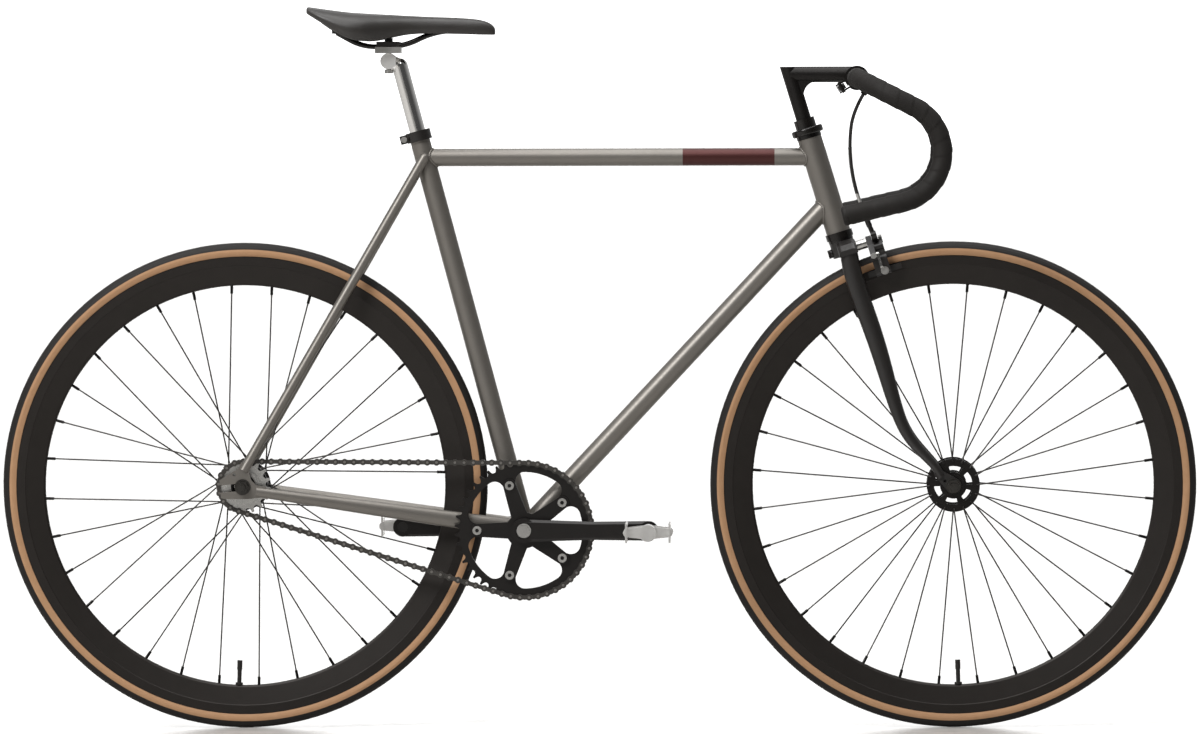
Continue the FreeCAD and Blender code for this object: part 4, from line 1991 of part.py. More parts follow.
def crank_holes(side):
    """Square for the spindle, recess for the bolt and eye for the pedal."""
    ahead = 1.0 if side == RIGHT else -1.0
    half = SPINDLE_SQUARE / 2.0 + FIT_GAP
    square = prism([BRACKET + Vec(x, side * CRANK_BOSS_INNER, z)
                    for x, z in ((-half, -half), (half, -half), (half, half), (-half, half))],
                   Y_AXIS * (side * (SPINDLE_HALF_LENGTH + 2.0 - CRANK_BOSS_INNER)))
    bolt = cross_rod(BRACKET, side * CRANK_BOSS_INNER, side * CRANK_OUTER_FACE, 4.0 + FIT_GAP)
    recess = cross_rod(BRACKET, side * (CRANK_OUTER_FACE - 5.0), side * (CRANK_OUTER_FACE + 5.0), 11.0)
    eye = BRACKET + Vec(ahead * CRANK_LENGTH, 0, 0)
    thread = cross_rod(eye, 0, side * (PEDAL_FACE + 1.0), PEDAL_THREAD_RADIUS + FIT_GAP)
    return [square, bolt, recess, thread]


def right_crank():
    """Right crank with its five-arm spider."""
    arm = crank_arm(RIGHT)
    push = Y_AXIS * -SPIDER_THICKNESS
    rise = Y_AXIS * -RING_OUTER_FACE
    spokes = [cross_rod(BRACKET, -RING_OUTER_FACE, -SPIDER_OUTER_FACE, SPIDER_HUB_RADIUS)]
    holes = crank_holes(RIGHT)
    for angle in arm_angles():
        place = BRACKET + polar(angle, BOLT_CIRCLE_RADIUS)
        root = BRACKET + polar(angle, SPIDER_ROOT_RADIUS)
        spokes.append(tapered_bar(root + rise, SPIDER_ROOT_RADIUS, place + rise, SPIDER_TIP_RADIUS, push))
        holes.append(cross_rod(place, -RING_OUTER_FACE, -SPIDER_OUTER_FACE, RING_BOLT_RADIUS + FIT_GAP))
    return arm.fuse(spokes).cut(holes)


def left_crank():
    """Left crank, half a turn from the right one."""
    return crank_arm(LEFT).cut(crank_holes(LEFT))


def crank_spindle():
    """Spindle with a square at each end, tapped for the crank bolts."""
    square_start = CRANK_BOSS_INNER
    half = SPINDLE_SQUARE / 2.0
    core = cross_rod(BRACKET, -square_start, square_start, SPINDLE_RADIUS)
    square = prism([BRACKET + Vec(x, -SPINDLE_HALF_LENGTH, z)
                    for x, z in ((-half, -half), (half, -half), (half, half), (-half, half))],
                   Y_AXIS * (2.0 * SPINDLE_HALF_LENGTH))
    square = square.common(cross_rod(BRACKET, -SPINDLE_HALF_LENGTH, SPINDLE_HALF_LENGTH, SPINDLE_RADIUS))
    taps = []
    for side in SIDES:
        tap_start = side * (SPINDLE_HALF_LENGTH - 20.0)
        taps.append(cross_rod(BRACKET, tap_start, side * SPINDLE_HALF_LENGTH, 4.0 + FIT_GAP))
    return core.fuse(square).cut(taps)


def crank_fasteners():
    """Chainring bolts and the two crank bolts."""
    solids = []
    head = RING_BOLT_HEAD_RADIUS
    for angle in arm_angles():
        place = BRACKET + polar(angle, BOLT_CIRCLE_RADIUS)
        shank = cross_rod(place, -RING_INNER_FACE, -SPIDER_OUTER_FACE, RING_BOLT_RADIUS)
        front = cross_rod(place, -SPIDER_OUTER_FACE, -SPIDER_OUTER_FACE - 1.8, head)
        back = cross_rod(place, -RING_INNER_FACE, -RING_INNER_FACE + 1.4, head)
        socket = hexagon(place + Y_AXIS * (-SPIDER_OUTER_FACE - 1.8), Y_AXIS, 5.0, 4.0)
        solids.append(shank.fuse([front, back]).removeSplitter().cut(socket))
    for side in SIDES:
        bottom = CRANK_OUTER_FACE - 5.0
        shank = cross_rod(BRACKET, side * (SPINDLE_HALF_LENGTH - 18.0), side * bottom, 4.0)
        flange = cross_rod(BRACKET, side * bottom, side * (bottom + 1.6), 10.0)
        top = hexagon(BRACKET + Y_AXIS * (side * (bottom + 1.6)), Y_AXIS * side, 14.0, 3.0)
        solids.append(shank.fuse([flange, top]).removeSplitter())
    return Part.makeCompound(solids)


def pedal_centre(side):
    """Place of a pedal's axle in the crank's plane."""
    ahead = 1.0 if side == RIGHT else -1.0
    return BRACKET + Vec(ahead * CRANK_LENGTH, 0, 0)


def pedal_axles():
    """Right and left pedal axles, screwed into the cranks."""
    axles = []
    for side in SIDES:
        centre = pedal_centre(side)
        thread_start = side * (PEDAL_FACE - CRANK_THICKNESS)
        thread = cross_rod(centre, thread_start, side * PEDAL_FACE, PEDAL_THREAD_RADIUS)
        shoulder = cross_rod(centre, side * PEDAL_FACE, side * (PEDAL_FACE + PEDAL_SHOULDER),
                             PEDAL_THREAD_RADIUS + 1.4)
        shaft = cross_rod(centre, side * PEDAL_FACE, side * (PEDAL_END - 6.0), PEDAL_AXLE_RADIUS)
        axles.append(thread.fuse([shoulder, shaft]).removeSplitter())
    return Part.makeCompound(axles)


def pedal(side):
    """Cage pedal: barrel, two cross arms and two toothed plates."""
    centre = pedal_centre(side)
    half = PEDAL_LENGTH / 2.0
    tall = PEDAL_CAGE_HEIGHT / 2.0
    start = side * PEDAL_START
    end = side * PEDAL_END
    pieces = [cross_rod(centre, start, end - side * 2.0, PEDAL_BARREL_RADIUS)]
    cap = cross_rod(centre, end - side * 8.0, end + side * 2.5, PEDAL_CAP_RADIUS)
    pieces.append(cap)
    for offset in (4.0, PEDAL_WIDTH - 14.0):
        near = side * (PEDAL_START + offset)
        thick = Y_AXIS * (side * 5.0)
        front = centre + Vec(half - 3.0, near, 0)
        back = centre + Vec(-half + 3.0, near, 0)
        pieces.append(tapered_bar(centre + Y_AXIS * near, 9.0, front, 6.0, thick))
        pieces.append(tapered_bar(centre + Y_AXIS * near, 9.0, back, 6.0, thick))
    cuts = [cross_rod(centre, start, side * (PEDAL_END - 6.0 + SOFT_GAP), PEDAL_AXLE_RADIUS + RUNNING_GAP)]
    pitch = PEDAL_WIDTH / PEDAL_TEETH
    for hand in (-1.0, 1.0):
        inner_x = hand * (half - PEDAL_CAGE_PLATE)
        corner = centre + Vec(min(inner_x, hand * half), min(start, end), -tall)
        pieces.append(Part.makeBox(PEDAL_CAGE_PLATE, PEDAL_WIDTH, PEDAL_CAGE_HEIGHT, corner))
        for index in range(PEDAL_TEETH):
            y = start + side * pitch * (index + 0.5)
            for level in (-tall, tall):
                place = centre + Vec(inner_x, y, level)
                cuts.append(rod(place - X_AXIS * 4.0, place + X_AXIS * 4.0, 0.3 * pitch))
    body = pieces[0].fuse(pieces[1:])
    return body.cut(cuts)


def right_pedal():
    """Pedal on the drive side."""
    return pedal(RIGHT)


def left_pedal():
    """Pedal on the other side."""
    return pedal(LEFT)


def front_axle():
    """Front axle in the fork's dropouts."""
    return axle_set(FRONT_AXLE, FRONT_AXLE_DIAMETER / 2.0, FRONT_HUB_WIDTH, FORK_DROPOUT_THICKNESS,
                    FRONT_CONE_RADIUS, FRONT_BALL_SIDE)


def front_hub_balls():
    """Loose balls of the front hub."""
    circle = hub_ball_circle(FRONT_CONE_RADIUS, FRONT_BALL_DIAMETER)
    balls = []
    for side in SIDES:
        centre = FRONT_AXLE + Y_AXIS * (side * FRONT_BALL_SIDE)
        balls += ball_ring(centre, Y_AXIS, circle, FRONT_BALL_DIAMETER, FRONT_BALL_COUNT)
    return Part.makeCompound(balls)


SUB_PARTS = (
    head_tube, top_tube, down_tube, seat_tube, bottom_bracket_shell, chainstays, seatstays, rear_dropouts,
    headset_cups, bearing_balls, bottom_bracket_cups, seat_clamp, rear_axle, chain_outer_links,
    chain_inner_links, seatpost, saddle_clamp, saddle_rails, saddle_base, saddle_cover, steerer_tube,
    fork_crown, fork_blades, headset_races, stem, stem_fasteners, handlebar, bar_tape, bar_end_plugs,
    brake_lever_bracket, brake_lever, brake_cable, brake_hardware, right_caliper_arm, right_brake_shoe,
    left_caliper_arm, left_brake_shoe, brake_release, front_axle, front_hub_balls, front_rim, front_tyre,
    front_inner_tube, front_spokes, front_hub_shell, rear_rim, rear_tyre, rear_inner_tube, rear_spokes,
    rear_hub_shell, rear_sprocket, sprocket_lockring, crank_spindle, right_crank, left_crank, chainring,
    crank_fasteners, pedal_axles, right_pedal, left_pedal,
)


def main():
    """Build every sub-part and write it to its own file."""
    os.makedirs("parts", exist_ok=True)
    for build in SUB_PARTS:
        build().exportStep(os.path.join("parts", build.__name__ + ".step"))


main()
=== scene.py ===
"""Looks of the fixed gear bicycle: finishes for its solids, and the soft and wound pieces on it."""

import json
import logging
import math
from dataclasses import dataclass, field
from enum import Enum
from typing import Any, Iterable, Optional, Sequence

import bmesh
import bpy
from mathutils import Matrix, Vector


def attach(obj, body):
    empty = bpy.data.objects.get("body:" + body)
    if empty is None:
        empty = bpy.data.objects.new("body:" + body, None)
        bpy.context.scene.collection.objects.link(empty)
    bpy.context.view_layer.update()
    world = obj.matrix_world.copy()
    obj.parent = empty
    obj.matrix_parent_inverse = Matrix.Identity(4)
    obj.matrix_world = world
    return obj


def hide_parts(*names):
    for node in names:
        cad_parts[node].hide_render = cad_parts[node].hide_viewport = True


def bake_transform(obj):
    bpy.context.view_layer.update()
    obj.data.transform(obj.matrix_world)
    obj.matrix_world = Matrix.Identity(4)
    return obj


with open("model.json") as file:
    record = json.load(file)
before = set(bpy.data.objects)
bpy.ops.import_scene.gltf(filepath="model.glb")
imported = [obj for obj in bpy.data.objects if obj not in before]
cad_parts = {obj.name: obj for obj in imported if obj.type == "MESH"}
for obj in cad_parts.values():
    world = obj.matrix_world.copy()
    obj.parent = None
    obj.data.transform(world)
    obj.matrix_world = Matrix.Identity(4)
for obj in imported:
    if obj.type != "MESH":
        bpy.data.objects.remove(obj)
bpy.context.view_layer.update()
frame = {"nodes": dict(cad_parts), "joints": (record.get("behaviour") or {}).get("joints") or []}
LOG = logging.getLogger("bicycle")

MM = 0.001
AHEAD = Vector((1.0, 0.0, 0.0))
ACROSS = Vector((0.0, 1.0, 0.0))
UP = Vector((0.0, 0.0, 1.0))
# Axles, and the lines of the steering axis and the seat tube, as the joints have them
JOINTS = {joint["name"]: joint for joint in frame["joints"]}
REAR_AXLE = Vector(JOINTS["rear_wheel_spin"]["pos_m"])
FRONT_AXLE = Vector(JOINTS["front_wheel_spin"]["pos_m"])
BRACKET = Vector(JOINTS["crank_spin"]["pos_m"])
STEER_FOOT = Vector(JOINTS["steering"]["pos_m"])
STEER_UP = Vector(JOINTS["steering"]["axis"])
STEER_AHEAD = ACROSS.cross(STEER_UP)
SEAT_UP = Vector(JOINTS["seatpost_height"]["axis"])
SEAT_BACK = SEAT_UP.cross(ACROSS)
# Middle of the saddle's rails and middle of the bar, in metres
RAIL_CENTRE = Vector((-0.289488, 0.0, 0.942750))
BAR_CENTRE = Vector((0.358108, 0.0, 0.898011))
FULL_TURN = 2.0 * math.pi
# Width of a mask's edges, and a distance beyond the whole object
MASK_EDGE = 0.00005
FAR = 10.0
# Most of a noise texture's values lie between these
NOISE_SPAN = (0.3, 0.7)
GRAIN_DETAIL = 3.0
PATCH_DETAIL = 4.0
WEAVE_DETAIL = 2.0
# Sockets of the mix node, by number because their names repeat
FIRST_VALUE, SECOND_VALUE = 2, 3
FIRST_COLOUR, SECOND_COLOUR, MIXED_COLOUR = 6, 7, 2

Tree = bpy.types.NodeTree
Socket = bpy.types.NodeSocket
Node = bpy.types.Node
Material = bpy.types.Material


class Side(Enum):
    """Right is the chain's side, left is the other one."""

    RIGHT = -1
    LEFT = 1


class End(Enum):
    """Front or rear wheel."""

    FRONT = "front"
    REAR = "rear"


def linear(code: str) -> tuple[float, float, float, float]:
    """Turn an sRGB hex colour into a linear one.

    Args:
        code: Six hex digits.
    Returns:
        Linear red, green and blue, and full opacity.
    """
    shares = [int(code[index:index + 2], 16) / 255.0 for index in (0, 2, 4)]
    red, green, blue = [s / 12.92 if s <= 0.04045 else ((s + 0.055) / 1.055) ** 2.4 for s in shares]
    return red, green, blue, 1.0


def add(tree: Tree, kind: str, links: Optional[dict[Any, Any]] = None, **settings: Any) -> Node:
    """Add a node with its settings and links.

    Args:
        tree: Node tree of a material.
        kind: Type of the node.
        links: Input name or number, to an output socket or a plain value.
        settings: Properties of the node.
    Returns:
        The new node.
    """
    node = tree.nodes.new(kind)
    for name, value in settings.items():
        setattr(node, name, value)
    for name, value in (links or {}).items():
        if isinstance(value, Socket):
            tree.links.new(value, node.inputs[name])
        else:
            node.inputs[name].default_value = value
    return node


def start_material(name: str,
                   constants: Optional[dict[str, Any]] = None) -> tuple[Material, Tree, Node, Socket]:
    """Start a material with a principled shader.

    Args:
        name: Name of the material.
        constants: Values of the shader's own sockets.
    Returns:
        The material, its tree, its shader and the socket of the object's own coordinates.
    """
    material = bpy.data.materials.new(name)
    material.use_nodes = True
    tree = material.node_tree
    tree.nodes.clear()
    shader = add(tree, "ShaderNodeBsdfPrincipled", constants)
    add(tree, "ShaderNodeOutputMaterial", {"Surface": shader.outputs[0]})
    place = add(tree, "ShaderNodeTexCoord").outputs["Object"]
    return material, tree, shader, place


def roughen(tree: Tree, shader: Node, place: Socket, grain_mm: float,
            low: float, high: float, bump_mm: float) -> None:
    """Vary a shader's roughness and normal with a fine grain.

    Args:
        tree: Node tree of the material.
        shader: Principled shader to link to.
        place: Coordinates in metres.
        grain_mm: Size of the grain.
        low: Lowest roughness.
        high: Highest roughness.
        bump_mm: Height of the grain.
    """
    grain = add(tree, "ShaderNodeTexNoise", {"Vector": place, "Scale": 1.0 / (grain_mm * MM),
                                             "Detail": GRAIN_DETAIL})
    spread = add(tree, "ShaderNodeMapRange", {"Value": grain.outputs[0], "From Min": NOISE_SPAN[0],
                                              "From Max": NOISE_SPAN[1], "To Min": low, "To Max": high})
    tree.links.new(spread.outputs[0], shader.inputs["Roughness"])
    if bump_mm > 0.0:
        bump = add(tree, "ShaderNodeBump", {"Height": grain.outputs[0], "Distance": bump_mm * MM,
                                            "Strength": 1.0})
        tree.links.new(bump.outputs[0], shader.inputs["Normal"])


def shade(tree: Tree, place: Socket, colours: tuple[str, str], patch_mm: float) -> Socket:
    """Colour that drifts a little between two tones.

    Args:
        tree: Node tree of the material.
        place: Coordinates in metres.
        colours: Two hex tones.
        patch_mm: Size of the patches.
    Returns:
        The colour's socket.
    """
    cloud = add(tree, "ShaderNodeTexNoise", {"Vector": place, "Scale": 1.0 / (patch_mm * MM),
                                             "Detail": PATCH_DETAIL})
    blend = add(tree, "ShaderNodeMix", {"Factor": cloud.outputs[0], FIRST_COLOUR: linear(colours[0]),
                                        SECOND_COLOUR: linear(colours[1])}, data_type="RGBA")
    return blend.outputs[MIXED_COLOUR]


def within(tree: Tree, value: Socket, low: float, high: float, soft: float) -> Socket:
    """Mask that is one where a value lies between two limits.

    Args:
        tree: Node tree of the material.
        value: Value to test.
        low: Lower limit.
        high: Upper limit.
        soft: Width of the mask's edges.
    Returns:
        The mask's socket.
    """
    rise = add(tree, "ShaderNodeMapRange", {"Value": value, "From Min": low - soft, "From Max": low + soft})
    fall = add(tree, "ShaderNodeMapRange", {"Value": value, "From Min": high + soft, "From Max": high - soft})
    both = add(tree, "ShaderNodeMath", {0: rise.outputs[0], 1: fall.outputs[0]}, operation="MULTIPLY")
    return both.outputs[0]


def along(tree: Tree, place: Socket, origin: Vector, way: Vector) -> Socket:
    """Distance along a direction from a point.

    Args:
        tree: Node tree of the material.
        place: Coordinates in metres.
        origin: Where the distance is nought.
        way: Direction of length one.
    Returns:
        The distance's socket.
    """
    arm = add(tree, "ShaderNodeVectorMath", {0: place, 1: origin}, operation="SUBTRACT")
    reach = add(tree, "ShaderNodeVectorMath", {0: arm.outputs[0], 1: way}, operation="DOT_PRODUCT")
    return reach.outputs["Value"]


def from_axle(tree: Tree, place: Socket, axle: Vector) -> Socket:
    """Distance from a wheel's axle.

    Args:
        tree: Node tree of the material.
        place: Coordinates in metres.
        axle: Centre of the wheel.
    Returns:
        The radius's socket.
    """
    arm = add(tree, "ShaderNodeVectorMath", {0: place, 1: axle}, operation="SUBTRACT")
    level = add(tree, "ShaderNodeVectorMath", {0: arm.outputs[0], 1: AHEAD + UP}, operation="MULTIPLY")
    return add(tree, "ShaderNodeVectorMath", {0: level.outputs[0]}, operation="LENGTH").outputs["Value"]


@dataclass(frozen=True)
class Slab:
    """Space between two planes: where it is measured from, along which way, and its two limits."""

    origin: Vector
    way: Vector
    start: float
    end: float = FAR
    mirrored: bool = False

    def mask(self, tree: Tree, place: Socket) -> Socket:
        """Mask that is one inside the slab.

        Args:
            tree: Node tree of the material.
            place: Coordinates in metres.
        Returns:
            The mask's socket.
        """
        reach = along(tree, place, self.origin, self.way)
        if self.mirrored:
            reach = add(tree, "ShaderNodeMath", {0: reach}, operation="ABSOLUTE").outputs[0]
        return within(tree, reach, self.start, self.end, MASK_EDGE)


@dataclass(frozen=True)
class SatinMetallicPaint:
    """Sprayed metallic paint under a satin lacquer: a soft sheen, fine flakes and a slight orange peel."""

    name: str = "satin_metallic_paint"
    tones: tuple[str, str] = ("79756f", "706c67")
    # Where a painted band starts and ends along the tube, in metres
    band: Optional[tuple[float, float]] = None
    band_tone: str = "45211f"
    band_edge: float = 0.0002
    metallic: float = 0.72
    patch_mm: float = 60.0
    # Flakes are drawn coarser than real ones of about 0.05 mm, so that they show
    flake_mm: float = 0.6
    flake_reach: float = 0.8
    glint: tuple[float, float] = (1.06, 0.95)
    peel_mm: float = 3.0
    peel_height_mm: float = 0.02
    rough: tuple[float, float] = (0.40, 0.48)
    coat: float = 0.15
    coat_rough: float = 0.35

    def build(self) -> Material:
        """Make the material.

        Returns:
            The finish, ready for a piece's slot.
        """
        material, tree, shader, place = start_material(self.name, {
            "Metallic": self.metallic, "Coat Weight": self.coat, "Coat Roughness": self.coat_rough})
        colour = shade(tree, place, self.tones, self.patch_mm)
        flakes = add(tree, "ShaderNodeTexVoronoi", {"Vector": place, "Scale": 1.0 / (self.flake_mm * MM)})
        glint = add(tree, "ShaderNodeMapRange", {"Value": flakes.outputs["Distance"],
                                                 "From Max": self.flake_reach,
                                                 "To Min": self.glint[0], "To Max": self.glint[1]})
        lit = add(tree, "ShaderNodeVectorMath", {0: colour, 1: glint.outputs[0]}, operation="MULTIPLY")
        colour = lit.outputs[0]
        if self.band:
            ahead = add(tree, "ShaderNodeSeparateXYZ", {0: place}).outputs["X"]
            mask = within(tree, ahead, *self.band, self.band_edge)
            blend = add(tree, "ShaderNodeMix", {"Factor": mask, FIRST_COLOUR: colour,
                                                SECOND_COLOUR: linear(self.band_tone)}, data_type="RGBA")
            colour = blend.outputs[MIXED_COLOUR]
        tree.links.new(colour, shader.inputs["Base Color"])
        roughen(tree, shader, place, self.peel_mm, *self.rough, self.peel_height_mm)
        return material


@dataclass(frozen=True)
class BlackCoat:
    """Black paint, oxide or anodising on metal: dark and even, with a fine grain that softens highlights."""

    name: str
    tones: tuple[str, str] = ("1b1816", "131110")
    metallic: float = 0.0
    rough: tuple[float, float] = (0.36, 0.46)
    patch_mm: float = 25.0
    # The grain is drawn coarser than that of a real coat, about 0.1 mm, so that it shows
    grain_mm: float = 1.2
    bump_mm: float = 0.01
    coat: float = 0.0
    coat_rough: float = 0.25

    def build(self) -> Material:
        """Make the material.

        Returns:
            The finish, ready for a piece's slot.
        """
        material, tree, shader, place = start_material(self.name, {
            "Metallic": self.metallic, "Coat Weight": self.coat, "Coat Roughness": self.coat_rough})
        tree.links.new(shade(tree, place, self.tones, self.patch_mm), shader.inputs["Base Color"])
        roughen(tree, shader, place, self.grain_mm, *self.rough, self.bump_mm)
        return material


@dataclass(frozen=True)
class BareMetal:
    """Turned, plated or polished metal: bright, with a faint unevenness that breaks up its reflections."""

    name: str
    tones: tuple[str, str] = ("c9c8c6", "b4b3b1")
    rough: tuple[float, float] = (0.16, 0.28)
    patch_mm: float = 12.0
    grain_mm: float = 2.0
    # The part that is bead blasted instead of polished
    satin: Optional[Slab] = None
    satin_rough: float = 0.42

    def build(self) -> Material:
        """Make the material.

        Returns:
            The finish, ready for a piece's slot.
        """
        material, tree, shader, place = start_material(self.name, {"Metallic": 1.0})
        tree.links.new(shade(tree, place, self.tones, self.patch_mm), shader.inputs["Base Color"])
        roughen(tree, shader, place, self.grain_mm, *self.rough, 0.0)
        if self.satin:
            polish = shader.inputs["Roughness"].links[0].from_socket
            mask = self.satin.mask(tree, place)
            blend = add(tree, "ShaderNodeMix", {"Factor": mask, FIRST_VALUE: polish,
                                                SECOND_VALUE: self.satin_rough})
            tree.links.new(blend.outputs[0], shader.inputs["Roughness"])
        return material


@dataclass(frozen=True)
class MaskedMetal:
    """Black metal with bright fasteners, or bright bolts with painted shade in their recesses: inside all the
    slabs the plating shows, elsewhere the black or the painted shade.
    """

    name: str
    slabs: tuple[Slab, ...]
    dark: tuple[str, str] = ("1b1816", "131110")
    bright: tuple[str, str] = ("c6c5c2", "aaa9a6")
    rough: tuple[float, float] = (0.28, 0.42)
    dark_patch_mm: float = 20.0
    bright_patch_mm: float = 6.0
    grain_mm: float = 1.5
    bump_mm: float = 0.006

    def build(self) -> Material:
        """Make the material.

        Returns:
            The finish, ready for a piece's slot.
        """
        material, tree, shader, place = start_material(self.name)
        mask = self.slabs[0].mask(tree, place)
        for slab in self.slabs[1:]:
            both = add(tree, "ShaderNodeMath", {0: mask, 1: slab.mask(tree, place)}, operation="MULTIPLY")
            mask = both.outputs[0]
        dark = shade(tree, place, self.dark, self.dark_patch_mm)
        bright = shade(tree, place, self.bright, self.bright_patch_mm)
        blend = add(tree, "ShaderNodeMix", {"Factor": mask, FIRST_COLOUR: dark, SECOND_COLOUR: bright},
                    data_type="RGBA")
        tree.links.new(blend.outputs[MIXED_COLOUR], shader.inputs["Base Color"])
        tree.links.new(mask, shader.inputs["Metallic"])
        roughen(tree, shader, place, self.grain_mm, *self.rough, self.bump_mm)
        return material


@dataclass(frozen=True)
class TyreRubber:
    """Vulcanised rubber with gum side walls: matt black tread with fine ribs, and a bare tan fabric strip."""

    name: str
    axle: Vector
    tread: tuple[str, str] = ("1d1a18", "161311")
    gum: tuple[str, str] = ("a68161", "9a7656")
    # Radii of the tan strip and of the ribbed crown, in metres
    gum_start: float = 0.3165
    gum_end: float = 0.3266
    gum_edge: float = 0.00025
    crown_start: float = 0.3295
    crown_end: float = 0.34
    crown_edge: float = 0.0006
    # Ribs and threads are drawn coarser than real ones of about 1 mm and 0.4 mm, so that they show
    rib_mm: float = 2.4
    thread_mm: float = 1.0
    relief_mm: float = 0.12
    relief_strength: float = 0.8
    tread_patch_mm: float = 14.0
    gum_patch_mm: float = 9.0
    specular: float = 0.25
    rough: tuple[float, float] = (0.55, 0.75)

    def build(self) -> Material:
        """Make the material.

        Returns:
            The finish, ready for a piece's slot.
        """
        material, tree, shader, place = start_material(self.name, {"Specular IOR Level": self.specular})
        radius = from_axle(tree, place, self.axle)
        mask = within(tree, radius, self.gum_start, self.gum_end, self.gum_edge)
        tread = shade(tree, place, self.tread, self.tread_patch_mm)
        gum = shade(tree, place, self.gum, self.gum_patch_mm)
        blend = add(tree, "ShaderNodeMix", {"Factor": mask, FIRST_COLOUR: tread, SECOND_COLOUR: gum},
                    data_type="RGBA")
        tree.links.new(blend.outputs[MIXED_COLOUR], shader.inputs["Base Color"])
        side = add(tree, "ShaderNodeSeparateXYZ", {0: place}).outputs["Y"]
        turns = add(tree, "ShaderNodeMath", {0: side, 1: FULL_TURN / (self.rib_mm * MM)},
                    operation="MULTIPLY")
        ribs = add(tree, "ShaderNodeMath", {0: turns.outputs[0]}, operation="SINE")
        crown = within(tree, radius, self.crown_start, self.crown_end, self.crown_edge)
        ribs = add(tree, "ShaderNodeMath", {0: ribs.outputs[0], 1: crown}, operation="MULTIPLY")
        weave = add(tree, "ShaderNodeTexNoise", {"Vector": place, "Scale": 1.0 / (self.thread_mm * MM),
                                                 "Detail": WEAVE_DETAIL})
        height = add(tree, "ShaderNodeMath", {0: ribs.outputs[0], 1: weave.outputs[0]}, operation="ADD")
        bump = add(tree, "ShaderNodeBump", {"Height": height.outputs[0], "Distance": self.relief_mm * MM,
                                            "Strength": self.relief_strength})
        tree.links.new(bump.outputs[0], shader.inputs["Normal"])
        rough = add(tree, "ShaderNodeMapRange", {"Value": weave.outputs[0], "To Min": self.rough[0],
                                                 "To Max": self.rough[1]})
        tree.links.new(rough.outputs[0], shader.inputs["Roughness"])
        return material


@dataclass(frozen=True)
class SpokeWire:
    """Drawn stainless wire with blackened brass nipples: grey, thin highlights, and dark ends at the rim."""

    name: str
    axle: Vector
    nipple_start: float = 0.2660
    wire: tuple[str, str] = ("454341", "353332")
    nipple: str = "1a1918"
    metallic: float = 0.85
    patch_mm: float = 15.0
    grain_mm: float = 2.0
    rough: tuple[float, float] = (0.26, 0.38)

    def build(self) -> Material:
        """Make the material.

        Returns:
            The finish, ready for a piece's slot.
        """
        material, tree, shader, place = start_material(self.name, {"Metallic": self.metallic})
        mask = within(tree, from_axle(tree, place, self.axle), self.nipple_start, FAR, MASK_EDGE)
        wire = shade(tree, place, self.wire, self.patch_mm)
        blend = add(tree, "ShaderNodeMix", {"Factor": mask, FIRST_COLOUR: wire,
                                            SECOND_COLOUR: linear(self.nipple)}, data_type="RGBA")
        tree.links.new(blend.outputs[MIXED_COLOUR], shader.inputs["Base Color"])
        roughen(tree, shader, place, self.grain_mm, *self.rough, 0.0)
        return material


@dataclass(frozen=True)
class GrainedCover:
    """Stretched synthetic leather: black, with a pebbled grain and a low sheen where it is rubbed."""

    name: str
    tones: tuple[str, str] = ("211e1c", "191715")
    # Pebbles are drawn coarser than real ones of about 0.6 mm, so that they show
    pebble_mm: float = 1.1
    rough: tuple[float, float] = (0.42, 0.58)
    depth_mm: float = 0.10
    relief_strength: float = 0.6
    specular: float = 0.5
    patch_mm: float = 30.0
    rubs_a_metre: float = 22.0

    def build(self) -> Material:
        """Make the material.

        Returns:
            The finish, ready for a piece's slot.
        """
        material, tree, shader, place = start_material(self.name, {"Specular IOR Level": self.specular})
        tree.links.new(shade(tree, place, self.tones, self.patch_mm), shader.inputs["Base Color"])
        pebbles = add(tree, "ShaderNodeTexVoronoi", {"Vector": place, "Scale": 1.0 / (self.pebble_mm * MM)})
        bump = add(tree, "ShaderNodeBump", {"Height": pebbles.outputs["Distance"],
                                            "Distance": self.depth_mm * MM,
                                            "Strength": self.relief_strength})
        tree.links.new(bump.outputs[0], shader.inputs["Normal"])
        rub = add(tree, "ShaderNodeTexNoise", {"Vector": place, "Scale": self.rubs_a_metre,
                                               "Detail": WEAVE_DETAIL})
        rough = add(tree, "ShaderNodeMapRange", {"Value": rub.outputs[0], "From Min": NOISE_SPAN[0],
                                                 "From Max": NOISE_SPAN[1], "To Min": self.rough[0],
                                                 "To Max": self.rough[1]})
        tree.links.new(rough.outputs[0], shader.inputs["Roughness"])
        return material


@dataclass(frozen=True)
class PaleFloor:
    """Plain painted studio floor: pale, with a satin sheen that turns white at a low angle."""

    name: str = "studio_floor_paint"
    tone: str = "b9b7b4"
    cloud_mm: float = 40.0
    rough: tuple[float, float] = (0.20, 0.26)

    def build(self) -> Material:
        """Make the material.

        Returns:
            The finish, ready for a piece's slot.
        """
        material, tree, shader, place = start_material(self.name, {"Base Color": linear(self.tone)})
        roughen(tree, shader, place, self.cloud_mm, *self.rough, 0.0)
        return material


def at_height(foot: Vector, up: Vector, height: float) -> Vector:
    """Point of a leaning line at a height above the floor."""
    return foot + up * ((height - foot.z) / up.z)


def put(name: str, data: bpy.types.ID) -> bpy.types.Object:
    """Put an object in the scene.

    Args:
        name: Name of the object.
        data: Its mesh, light or camera.
    Returns:
        The new object.
    """
    thing = bpy.data.objects.new(name, data)
    bpy.context.scene.collection.objects.link(thing)
    return thing


def dress(material: Material, names: Iterable[str]) -> None:
    """Give the solids of some nodes a material.

    Args:
        material: Finish of the nodes.
        names: Node names.
    """
    for name in names:
        node = frame["nodes"][name]
        for slot in node.material_slots:
            slot.material = material
        LOG.info("%s: %s", name, material.name)


